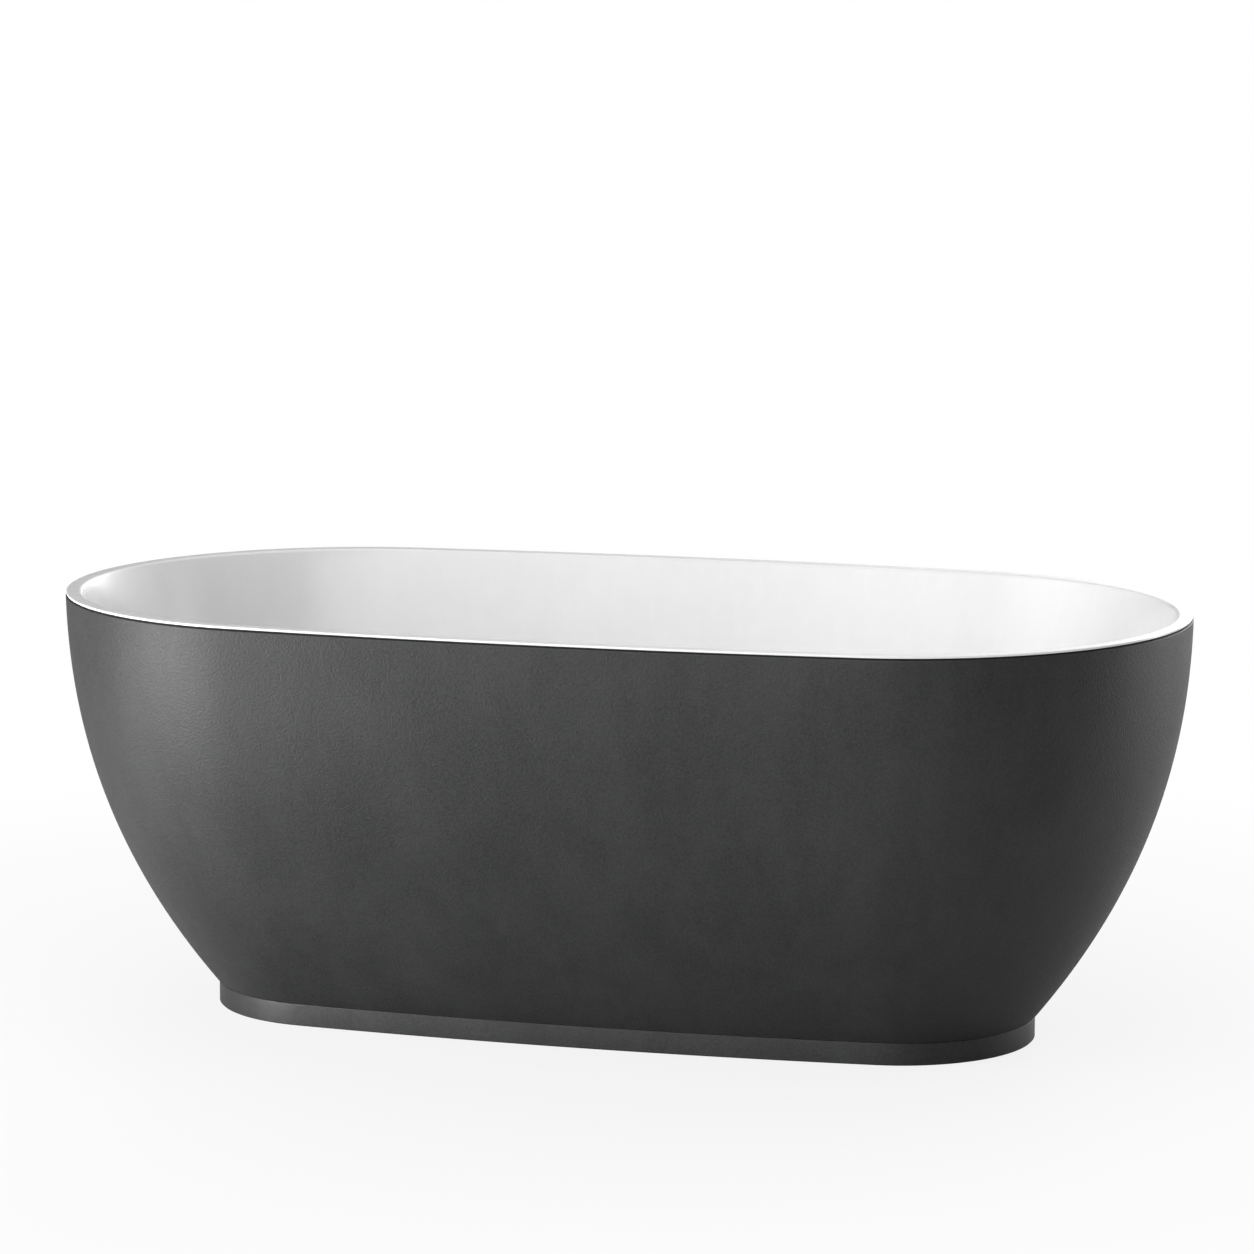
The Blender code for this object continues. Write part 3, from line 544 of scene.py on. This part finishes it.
drain = {"seat": 0.1548, "top": 0.1573, "neck": 0.0245, "bore": 0.0215, "portZ": 0.083, "flangeFoot": 0.118,
         "rimRadius": 0.036, "gasket": 0.034, "upperGasket": (0.1533, 0.1545),
         "lowerGasket": (0.1467, 0.1487), "bodyTop": 0.1464, "hoops": (0.098, 0.116, 0.134),
         "hoopRadii": (0.0305, 0.0316), "hoopHeight": 0.0016,
         "bodyFoot": [(0.0165, 0.0715), (0.0165, 0.0563), (0.020, 0.0563), (0.020, 0.068), (0.031, 0.068),
                      (0.031, 0.1434), (0.036, 0.1434), (0.036, 0.1464)],
         "port": [(0, 0.028), (0.012, 0.028), (0.012, 0.060), (0, 0.060)],
         "portBore": [(0, 0.015), (0.009, 0.015), (0.009, 0.070), (0, 0.070)],
         "nut": (0.0208, 0.027, 0.0505, 0.064)}


grips = {"count": 48, "lift": 0.0007, "collar": 0.0022, "edge": 0.0004}


def gripRibs(bm, radius, low, high, steps, lift):
    # every other strip of an outer wall, raised
    bm.faces.ensure_lookup_table()
    strips = []
    for face in bm.faces:
        centre = face.calc_center_median()
        column = math.floor(math.atan2(centre.y, centre.x) / (2 * math.pi / steps))
        onWall = abs(math.hypot(centre.x, centre.y) - radius) < 0.0003 and low < centre.z < high
        if onWall and abs(face.normal.z) < 0.3 and column % 2 == 0:
            strips.append(face)
    bmesh.ops.inset_region(bm, faces=strips, thickness=lift * 0.5, depth=lift, use_even_offset=True)
    return bm


def gripNut(inner, outer, low, high, place=Matrix()):
    # ring nut with a collar at each end and moulded grips between
    count, lift, collar = grips["count"], grips["lift"], grips["collar"]
    base = outer - lift
    section = [(inner, low), (base, low), (base, low + collar), (base, high - collar), (base, high),
               (inner, high)]
    bm = turned(section, steps=count)
    bm = gripRibs(bm, base, low + 0.002, high - 0.002, count, lift)
    ends = [edge for edge in bm.edges if edge.is_manifold and edge.calc_face_angle() > 1.2
            and abs(edge.verts[0].co.z - edge.verts[1].co.z) < level
            and (edge.verts[0].co.z < low + 0.001 or edge.verts[0].co.z > high - 0.001)]
    return placed(bevelled(bm, ends, grips["edge"]), place)


def makeDrain():
    seat, top, neck, bore = drain["seat"], drain["top"], drain["neck"], drain["bore"]
    gasket = ring(basin["hole"], drain["gasket"], *drain["upperGasket"], soften=0.0004)
    pieceFrom(gasket, "drainGasketUpper", ["drain_gasket_upper"], "root", "rubber")
    foot, edge = drain["flangeFoot"], drain["rimRadius"]
    flange = [(bore, foot), (neck, foot), (neck, seat), (edge, seat), (edge, seat + 0.0006)]
    flange += [(edge - 0.0025 + 0.0025 * math.cos(a), seat + 0.0008 + (top - seat - 0.0008) * math.sin(a))
               for a in (0.3, 0.7, 1.1, 1.57)]
    flange += [(bore + 0.0035, top), (bore + 0.0015, top - 0.0008), (bore, top - 0.003)]
    pieceFrom(turned(flange, steps=96), "drainFlange", ["drain_flange"], "root", "chrome", 30)
    lower = ring(neck + 0.001, drain["gasket"], *drain["lowerGasket"], soften=0.0006)
    pieceFrom(lower, "drainGasketLower", ["drain_gasket_lower"], "root", "rubber")
    inside = neck + 0.0008
    body = [(inside, drain["bodyTop"]), (inside, drain["bodyFoot"][0][1])] + drain["bodyFoot"]
    waste = turned(body, soften=0.0005, steps=72)
    sideways = Matrix.Translation((0, 0, drain["portZ"])) @ onY
    port = turned(drain["port"], sideways, steps=48)
    waste = combined(combined(waste, port, "UNION"), turned(drain["portBore"], sideways, steps=48))
    hoops = [ring(*drain["hoopRadii"], z, z + drain["hoopHeight"], soften=0.0003) for z in drain["hoops"]]
    pieceFrom(joined(waste, *hoops), "wasteBody", ["waste_body"], "root", "waste_plastic", 30)
    pieceFrom(gripNut(*drain["nut"]), "wasteNut", ["waste_nut"], "root", "waste_plastic")


plug = {"roof": 0.1604, "seal": 0.1579, "shoulder": 0.130, "barrelLow": 0.112, "barrelHigh": 0.150,
        "armSize": (0.0100, 0.0038, 0.0040), "armSpot": (0.0157, 0, 0.121), "armEdge": 0.0005,
        "coil": 0.0065, "wire": 0.0007, "wireSides": 10, "turns": 5, "turnSteps": 28,
        "footGap": 0.0028, "headGap": 0.0003}


def makePlug():
    roof = plug["roof"]
    dome = [(0.0315 * math.cos(a), roof + 0.0008 + 0.0042 * math.sin(a))
            for a in (i * math.pi / 24 for i in range(1, 12))]
    cap = [(0, roof), (0.0305, roof), (0.0305, roof - 0.0015), (0.0328, roof - 0.0015)]
    cap += [(0.033, roof - 0.0012), (0.033, roof), (0.0326, roof + 0.0006)] + dome + [(0, roof + 0.005)]
    pieceFrom(turned(cap, steps=96), "plugCap", ["plug_cap"], "plug", "chrome", 40)
    seal = [(0.023, plug["seal"]), (0.0290, plug["seal"]), (0.030, plug["seal"] + 0.0006),
            (0.0288, plug["seal"] + 0.0011), (0.0288, roof - 0.0003), (0.023, roof - 0.0003)]
    pieceFrom(turned(seal, steps=72, soften=0.0002), "plugSeal", ["plug_seal"], "plug", "rubber")
    low = plug["shoulder"]
    stem = [(0, low), (0.008, low), (0.008, low + 0.003), (0.005, low + 0.003), (0.005, low + 0.010),
            (0.0044, low + 0.0105), (0.0044, low + 0.0125), (0.005, low + 0.013), (0.005, roof - 0.0003),
            (0, roof - 0.0003)]
    pieceFrom(turned(stem, soften=0.0003, steps=40), "plugStem", ["plug_stem"], "plug", "waste_plastic")
    low, high = plug["barrelLow"], plug["barrelHigh"]
    barrel = turned([(0.003, low), (0.0115, low), (0.0115, high), (0.0055, high), (0.0055, high - 0.002),
                     (0.0090, high - 0.002), (0.0090, low + 0.0025), (0.003, low + 0.0025)],
                    soften=0.0003, steps=48)
    arms = []
    for i in range(3):
        arm = bmesh.new()
        bmesh.ops.create_cube(arm, size=1.0)
        bmesh.ops.scale(arm, vec=plug["armSize"], verts=arm.verts)
        bevelled(arm, arm.edges[:], plug["armEdge"])
        turn = Matrix.Rotation(2 * math.pi * i / 3, 4, "Z")
        arms.append(placed(arm, turn @ Matrix.Translation(plug["armSpot"])))
    pieceFrom(joined(barrel, *arms), "plugBarrel", ["plug_barrel"], "root", "waste_plastic")
    makeSpring(low + plug["footGap"], plug["shoulder"] - plug["headGap"])


def makeSpring(low, high):
    # the wire's round section climbs as it is spun; its foot stays in the barrel
    coil, wire = plug["coil"], plug["wire"]
    rise = high - low - 2 * wire
    bm = bmesh.new()
    bmesh.ops.create_circle(bm, cap_ends=True, segments=plug["wireSides"], radius=wire,
                            matrix=Matrix.Translation((coil, 0, low + wire)) @ onY)
    steps = plug["turns"] * plug["turnSteps"]
    bmesh.ops.spin(bm, geom=bm.faces[:], cent=(0, 0, 0), axis=(0, 0, 1), dvec=(0, 0, rise / steps),
                   angle=2 * math.pi * plug["turns"], steps=steps)
    spring = pieceFrom(bm, "plugSpring", ["plug_spring"], None, "zinc_steel", 50)
    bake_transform(spring)


makeDrain()
makePlug()
print("drain ready")


# trap, floor connector and hoses

pipework = {"axisZ": 0.028, "tail": (0.300, 0.040), "hoseSteps": 10, "sides": 28,
            "pot": [(0, 0.004), (0.042, 0.004), (0.045, 0.007), (0.045, 0.047), (0.042, 0.050),
                    (0.020, 0.050), (0.020, 0.056), (0.0165, 0.056), (0.0165, 0.047), (0.0415, 0.047),
                    (0.0415, 0.0075), (0, 0.0075)],
            "outlet": [(0, 0.0425), (0.020, 0.0425), (0.020, 0.080), (0, 0.080)],
            "outletBore": [(0, 0.030), (0.0165, 0.030), (0.0165, 0.090), (0, 0.090)],
            "connector": [(0, 0.052), (0.027, 0.052), (0.030, 0.049), (0.030, 0.001), (0.026, 0.001),
                          (0.026, 0.048), (0, 0.048)],
            "inlet": [(0, 0.028), (0.020, 0.028), (0.020, 0.060), (0, 0.060)],
            "inletBore": [(0, 0.010), (0.0165, 0.010), (0.0165, 0.070), (0, 0.070)],
            "nut": (0.0208, 0.0237, -0.007, 0.009),
            "drainRibs": {"radius": 0.019, "depth": 0.0022, "pitch": 0.0056, "plain": 0.009},
            "overflowRibs": {"radius": 0.010, "depth": 0.0012, "pitch": 0.0036, "plain": 0.013},
            "drainRoute": [(0.0803, 0, 0.028), (0.0883, 0, 0.028), (0.0983, 0, 0.028),
                           (0.160, 0.020, 0.028), (0.2217, 0.040, 0.028), (0.2317, 0.040, 0.028),
                           (0.2397, 0.040, 0.028)],
            "overflowRoute": [(0, -0.3745, 0.4342), (0, -0.3728, 0.4278), (0, -0.3704, 0.4191),
                              (0, -0.3632, 0.375), (0, -0.3451, 0.32), (0, -0.3227, 0.265),
                              (0, -0.2965, 0.215), (0, -0.272, 0.165), (0, -0.243, 0.125),
                              (0, -0.196, 0.094), (0, -0.140, 0.082), (0, -0.085, 0.083),
                              (0, -0.072, 0.083), (0, -0.0603, 0.083)]}


def smoothRoute(points, steps):
    # a curve through the points
    knots = [Vector(point) for point in points]
    knots = [2 * knots[0] - knots[1]] + knots + [2 * knots[-1] - knots[-2]]
    route = []
    for a, b, c, d in zip(knots, knots[1:], knots[2:], knots[3:]):
        for t in (i / steps for i in range(steps)):
            route.append(0.5 * (2 * b + (c - a) * t + (2 * a - 5 * b + 4 * c - d) * t ** 2
                                + (3 * b - a - 3 * c + d) * t ** 3))
    return route + [knots[-2]]


def corrugated(points, radius, depth, pitch, plain):
    # a ribbed pipe turned straight, then bent along its route
    route = smoothRoute(points, pipework["hoseSteps"])
    marks = [0.0]
    for here, there in zip(route, route[1:]):
        marks.append(marks[-1] + (there - here).length)
    total = marks[-1]
    ribs = round((total - 2 * plain) / pitch)
    profile = [(0, 0), (radius - depth, 0)]
    for i in range(ribs):
        low = plain + (total - 2 * plain) * i / ribs
        profile += [(radius - depth, low), (radius - depth * 0.15, low + 0.25 * pitch),
                    (radius, low + 0.4 * pitch), (radius - depth * 0.15, low + 0.55 * pitch),
                    (radius - depth, low + 0.8 * pitch)]
    profile += [(radius - depth, total - plain), (radius - depth, total), (0, total)]
    bm = turned(profile, steps=pipework["sides"])
    across = (route[-1] - route[0]).cross((route[len(route) // 2] - route[0])).normalized()
    for vert in bm.verts:
        reach = min(max(vert.co.z, 0.0), total)
        spot = max(i for i, mark in enumerate(marks[:-1]) if mark <= reach + 0.0000001)
        part = (reach - marks[spot]) / (marks[spot + 1] - marks[spot])
        ahead, behind = route[min(spot + 2, len(route) - 1)], route[max(spot - 1, 0)]
        chord = (route[spot + 1] - route[spot]).normalized()
        run = chord.lerp((ahead - behind).normalized(), 0.5).normalized()
        side = across.cross(run).normalized()
        vert.co = route[spot].lerp(route[spot + 1], part) + side * vert.co.x + run.cross(side) * vert.co.y
    return bm


def makePipework():
    z = pipework["axisZ"]
    along = Matrix.Translation((0, 0, z)) @ onX
    trap = turned(pipework["pot"], soften=0.0006, steps=72)
    outlet = turned(pipework["outlet"], along, steps=48)
    trap = combined(combined(trap, outlet, "UNION"), turned(pipework["outletBore"], along, steps=48))
    pieceFrom(trap, "trapPot", ["trap"], "root", "waste_plastic", 30)
    tailPlace = Matrix.Translation((*pipework["tail"], 0))
    back = Matrix.Translation((*pipework["tail"], z)) @ Matrix.Rotation(-math.pi / 2, 4, "Y")
    connector = turned(pipework["connector"], tailPlace, soften=0.0006, steps=72)
    inlet = turned(pipework["inlet"], back, steps=48)
    connector = combined(combined(connector, inlet, "UNION"), turned(pipework["inletBore"], back, steps=48))
    pieceFrom(connector, "floorConnector", ["floor_connector"], "root", "waste_plastic", 30)
    hose = corrugated(pipework["drainRoute"], **pipework["drainRibs"])
    pieceFrom(hose, "drainHose", ["drain_hose"], "root", "hose_plastic", 60)
    for name, node, x, y in (("drainNutTrap", "drain_hose_nut_trap", 0.080, 0.0),
                             ("drainNutTail", "drain_hose_nut_tail", 0.240, 0.040)):
        nut = gripNut(*pipework["nut"], Matrix.Translation((x, y, z)) @ onX)
        pieceFrom(nut, name, [node], "root", "waste_plastic")


# overflow in the front wall

overflow = {"face": 0.0008, "slots": (-0.009, 0.0, 0.009), "slotLength": 0.028, "slotWidth": 0.0044,
            "slotDepth": 0.016, "slotRise": 0.004, "rear": -0.0066, "depth": 0.0195, "wall": 0.0025,
            "gasket": 0.027, "gasketHeight": 0.002, "front": 0.0023,
            "spigot": [(0, 0.0265), (0.0095, 0.0265), (0.0095, 0.047), (0, 0.047)],
            "spigotBore": [(0, 0.020), (0.0070, 0.020), (0.0070, 0.060), (0, 0.060)],
            "topNut": (0.0107, 0.0128, 0.038, 0.060), "bottomNut": (0.0127, 0.0155, 0.048, 0.070)}


def roundedSlot(offset):
    # a stadium cutter, straight through the cover
    bm = bmesh.new()
    bmesh.ops.create_cube(bm, size=1.0)
    size = (overflow["slotLength"], overflow["slotWidth"], overflow["slotDepth"])
    bmesh.ops.scale(bm, vec=size, verts=bm.verts)
    bmesh.ops.translate(bm, vec=(0, offset, overflow["slotRise"]), verts=bm.verts)
    upright = [edge for edge in bm.edges if abs(edge.verts[0].co.z - edge.verts[1].co.z) > 0.01]
    nearlyHalf = 0.499  # a full half would leave no straight side
    return placed(bevelled(bm, upright, overflow["slotWidth"] * nearlyHalf, 8), overflowPlace)


def makeOverflow():
    face = overflow["face"]
    crown = [(0.0305 * math.cos(a), face + 0.0030 + 0.0030 * math.sin(a))
             for a in (0.15, 0.35, 0.6, 0.85, 1.1, 1.3, 1.45)]
    cover = [(0, face + 0.002), (0.027, face + 0.002), (0.029, face), (0.0316, face)]
    cover += [(0.032, face + 0.0004), (0.032, face + 0.0024), (0.0316, face + 0.0030)]
    cover += crown + [(0, face + 0.006)]
    plate = turned(cover, overflowPlace, steps=96)
    for offset in overflow["slots"]:
        plate = combined(plate, roundedSlot(offset))
    pieceFrom(plate, "overflowCover", ["overflow_cover"], "root", "chrome", 35)
    rear = overflow["rear"]
    gasket = ring(basin["overflowHole"], overflow["gasket"], rear - overflow["gasketHeight"], rear,
                  overflowPlace, soften=0.0006)
    pieceFrom(gasket, "overflowGasket", ["overflow_gasket"], "root", "rubber")
    front, wall = rear - overflow["front"], overflow["wall"]
    deep = front - overflow["depth"]
    body = [(0, deep), (0.0285, deep), (0.0285, front), (0.016, front), (0.016, 0.002), (0.0125, 0.002),
            (0.0125, front - wall), (0.026, front - wall), (0.026, deep + wall), (0, deep + wall)]
    housing = turned(body, overflowPlace, soften=0.0004, steps=64)
    down = overflowPlace @ Matrix.Translation((0, 0, -overflow["depth"]))
    down @= Matrix.Rotation(-math.pi / 2, 4, "X")
    spigot = turned(overflow["spigot"], down, steps=40)
    housing = combined(combined(housing, spigot, "UNION"), turned(overflow["spigotBore"], down, steps=40))
    pieceFrom(housing, "overflowBody", ["overflow_body"], "root", "waste_plastic", 30)
    hose = corrugated(pipework["overflowRoute"], **pipework["overflowRibs"])
    pieceFrom(hose, "overflowHose", ["overflow_hose"], "root", "hose_plastic", 60)
    pieceFrom(gripNut(*overflow["topNut"], down), "overflowNutTop", ["overflow_hose_nut_top"],
              "root", "waste_plastic")
    sideways = Matrix.Translation((0, 0, drain["portZ"])) @ onY
    pieceFrom(gripNut(*overflow["bottomNut"], sideways), "overflowNutBottom",
              ["overflow_hose_nut_bottom"], "root", "waste_plastic")


makePipework()
makeOverflow()
print("pipework ready")


# feet, frame and brackets

corners = {"front_left": (-1, -1), "front_right": (1, -1), "back_left": (-1, 1), "back_right": (1, 1)}
feet = {"x": 0.360, "y": 0.150, "radius": 0.006, "depth": 0.0011, "pitch": 0.00175, "hex": 0.017,
        "bottom": 0.0065, "hexLow": 0.017, "top": 0.120, "padRadius": 0.025, "padHeight": 0.014,
        "padGap": 0.0003, "hexHeight": 0.006, "hexEdge": 0.0006}


def threaded(radius, depth, pitch, low, high):
    # one long zigzag climbs a pitch per turn, and both ends are cut square
    teeth = int((high - low) / pitch) + 4
    zigzag = [(radius - depth, low - 2 * pitch)]
    for i in range(teeth):
        base = low - 2 * pitch + i * pitch
        zigzag += [(radius, base + 0.42 * pitch), (radius, base + 0.58 * pitch)]
        zigzag += [(radius - depth, base + pitch)]
    bm = outlined(zigzag, closed=False)
    steps = 28
    bmesh.ops.spin(bm, geom=bm.verts[:] + bm.edges[:], cent=(0, 0, 0), axis=(0, 0, 1),
                   dvec=(0, 0, pitch / steps), angle=2 * math.pi, steps=steps)
    bmesh.ops.remove_doubles(bm, verts=bm.verts, dist=0.00002)
    for z, normal in ((low, (0, 0, -1)), (high, (0, 0, 1))):
        cut = bmesh.ops.bisect_plane(bm, geom=bm.verts[:] + bm.edges[:] + bm.faces[:], plane_co=(0, 0, z),
                                     plane_no=normal, clear_outer=True)
        rim = [item for item in cut["geom_cut"] if isinstance(item, bmesh.types.BMEdge)]
        bmesh.ops.holes_fill(bm, edges=rim)
    return bm


def hexBlock(acrossFlats, low, high):
    bm = bmesh.new()
    bmesh.ops.create_circle(bm, cap_ends=True, segments=6, radius=acrossFlats / math.sqrt(3),
                            matrix=Matrix.Translation((0, 0, low)))
    top = bmesh.ops.extrude_face_region(bm, geom=bm.faces[:])
    verts = [item for item in top["geom"] if isinstance(item, bmesh.types.BMVert)]
    bmesh.ops.translate(bm, vec=(0, 0, high - low), verts=verts)
    flat = [edge for edge in bm.edges if abs(edge.verts[0].co.z - edge.verts[1].co.z) < level]
    return placed(bevelled(bm, flat, feet["hexEdge"]), Matrix())


def makeFoot(corner, signX, signY):
    place = Matrix.Translation((signX * feet["x"], signY * feet["y"], 0))
    radius, height, socket = feet["padRadius"], feet["padHeight"], feet["bottom"] - feet["padGap"]
    pad = [(0, 0), (radius - 0.001, 0), (radius, 0.001), (radius, 0.004), (radius - 0.0015, 0.0046),
           (0.013, 0.009), (0.012, height), (0.0065, height), (0.0065, socket), (0, socket)]
    bm = placed(turned(pad, soften=0.0004, steps=64), place)
    pieceFrom(bm, f"footPad_{corner}", [f"foot_{corner}_pad"], f"foot_{corner}", "rubber")
    low, high = feet["hexLow"], feet["hexLow"] + feet["hexHeight"]
    overlap = 0.0005  # the shank and thread run this far into the hexagon
    bottom, shankRadius = feet["bottom"], feet["radius"]
    shank = [(0, bottom), (shankRadius, bottom), (shankRadius, low + overlap), (0, low + overlap)]
    shank = turned(shank, soften=0.0003, steps=32)
    thread = threaded(feet["radius"], feet["depth"], feet["pitch"], high - overlap, feet["top"])
    stud = placed(joined(shank, hexBlock(feet["hex"], low, high), thread), place)
    pieceFrom(stud, f"footStud_{corner}", [f"foot_{corner}_stud"], f"foot_{corner}_stud_body", "zinc_steel")
    for kind, slotName in (("weld_nut", "frame_steel"), ("lock_nut", "zinc_steel")):
        node = f"foot_{corner}_{kind}"
        name = f"foot{kind.title().replace('_', '')}_{corner}"
        pieceFrom(softened(node, 0.0005, 2, 40.0), name, [node], "root", slotName)


def makeFrame():
    for side in ("front", "back"):
        node = f"rail_{side}"
        pieceFrom(softened(node, 0.0008), node, [node], "root", "frame_steel")
    for side in ("left", "right"):
        node = f"cradle_{side}"
        pieceFrom(softened(node, 0.0008), node, [node], "root", "frame_steel")
    for corner, (signX, signY) in corners.items():
        makeFoot(corner, signX, signY)
        for kind in ("skirt_bracket", "plinth_bracket"):
            node = f"{kind}_{corner}"
            pieceFrom(softened(node, 0.0007), f"{kind.replace('_b', 'B')}_{corner}", [node], "root",
                      "frame_steel")
        node = f"skirt_screw_{corner}"
        pieceFrom(softened(node, 0.0003, 2, 50.0), f"skirtScrew_{corner}", [node], "root", "zinc_steel")
    pieceFrom(softened("base_board", 0.0010, 2, 50.0), "baseBoard", ["base_board"], "root", "board")


makeFrame()
print("frame ready")


# camera, floor and light

view = {"azimuth": 16.3647, "elevation": 8.8580, "distance": 7.2721, "focus": 5215.87,
        "aim": (0.0085, 0.0, 0.5543), "picture": 1254.0}


def makeCamera():
    turn, rise = math.radians(view["azimuth"]), math.radians(view["elevation"])
    back = Vector((math.sin(turn) * math.cos(rise), -math.cos(turn) * math.cos(rise), math.sin(rise)))
    camera = bpy.data.objects.new("camera", bpy.data.cameras.new("camera"))
    scene.collection.objects.link(camera)
    camera.location = Vector(view["aim"]) + back * view["distance"]
    camera.rotation_euler = (-back).to_track_quat("-Z", "Y").to_euler()
    camera.data.sensor_width = 36.0
    camera.data.lens = 36.0 * view["focus"] / view["picture"]
    camera.data.clip_end = 100.0
    scene.camera = camera


studio = {"floorRadius": 40.0, "floorDrop": 0.0003, "floorGrey": 0.50, "fadeStart": 0.45, "fadeEnd": 2.2,
          "glow": 0.84, "base": 0.06,
          # each lobe: direction, narrowness, strength
          "lobes": [((-0.99, 0.0, 0.14), 6.0, 0.04), ((-0.70, -0.70, 0.14), 6.0, 3.7),
                    ((0.92, 0.33, 0.21), 30.0, 0.5), ((0.63, 0.75, 0.21), 30.0, 0.1),
                    ((0.25, 0.95, 0.16), 16.0, 6.0), ((0.0, 0.0, 1.0), 6.0, 1.9)],
          # each panel: place, aim, size, watts
          "panels": {"leftLow": ((-1.5, -1.0, 0.35), (-0.6, 0.0, 0.3), (0.8, 0.5), 24.0),
                     "frontSoft": ((0.3, -2.2, 1.2), (0.1, 0.0, 0.35), (1.8, 1.2), 16.0),
                     "rightStrip": ((1.7, 0.7, 0.6), (0.6, 0.0, 0.35), (0.4, 1.1), 5.2),
                     "backSoft": ((0.9, 1.4, 1.0), (0.3, 0.0, 0.4), (1.0, 0.8), 3.5)}}


def makeStage():
    bm = bmesh.new()
    bmesh.ops.create_circle(bm, cap_ends=True, segments=96, radius=studio["floorRadius"],
                            matrix=Matrix.Translation((0, 0, -studio["floorDrop"])))
    floor = asObject(bm, "floor")
    material, shader, at = startFinish("paleFloor", {"Specular IOR Level": 0.25})
    grey = studio["floorGrey"]
    mottle = spread(noise(at, 40.0, 5.0, 0.6), 0.3, 0.7)
    connect(shader, colour=tint(mottle, (grey,) * 3, (grey + 0.01,) * 3), roughness=0.55 + mottle * 0.1)
    # the camera sees it whitened, and far from the tub it turns into the white backdrop
    away = at.node("ShaderNodeVectorMath", {"operation": "LENGTH"}, {0: at}, "Value")
    glow = at.node("ShaderNodeEmission", None, {"Color": (1, 1, 1, 1), "Strength": 1.0})
    fade = spread(away, studio["fadeStart"], studio["fadeEnd"]) * (1 - studio["glow"]) + studio["glow"]
    seen = at.node("ShaderNodeLightPath", None, None, "Is Camera Ray")
    surface = at.node("ShaderNodeMixShader", None, {0: fade * seen, 2: glow})
    links = material.node_tree.links
    links.new(shader.outputs[0], surface.socket.node.inputs[1])
    links.new(surface.socket, material.node_tree.nodes["Material Output"].inputs["Surface"])
    floor.data.materials.append(material)


def makeLight():
    # a low base and smooth lobes of light from all round, then soft boxes close by
    world = bpy.data.worlds.new("studio")
    scene.world = world
    world.use_nodes = True
    tree = world.node_tree
    at = Sock(tree, tree.nodes.new("ShaderNodeTexCoord").outputs["Generated"])
    total = None
    for axis, power, gain in studio["lobes"]:
        facing = at.node("ShaderNodeVectorMath", {"operation": "DOT_PRODUCT"},
                         {0: at, 1: Vector(axis).normalized()}, "Value")
        lobe = facing.maths("MAXIMUM", facing, 0.0) ** power * gain
        total = lobe if total is None else total + lobe
    seen = at.node("ShaderNodeLightPath", None, None, "Is Camera Ray")
    strength = (total + studio["base"]) * (1 - seen) + seen
    tree.nodes["Background"].inputs["Color"].default_value = (1, 1, 1, 1)
    tree.links.new(strength.socket, tree.nodes["Background"].inputs["Strength"])
    for name, (place, aim, size, power) in studio["panels"].items():
        data = bpy.data.lights.new(name, "AREA")
        data.shape = "RECTANGLE"
        data.size, data.size_y = size
        data.energy = power
        panel = bpy.data.objects.new(name, data)
        scene.collection.objects.link(panel)
        panel.location = place
        panel.rotation_euler = (Vector(place) - Vector(aim)).to_track_quat("Z", "Y").to_euler()
        panel.visible_camera = False


makeCamera()
makeStage()
makeLight()
scene.view_settings.view_transform = "Standard"
print("studio ready")
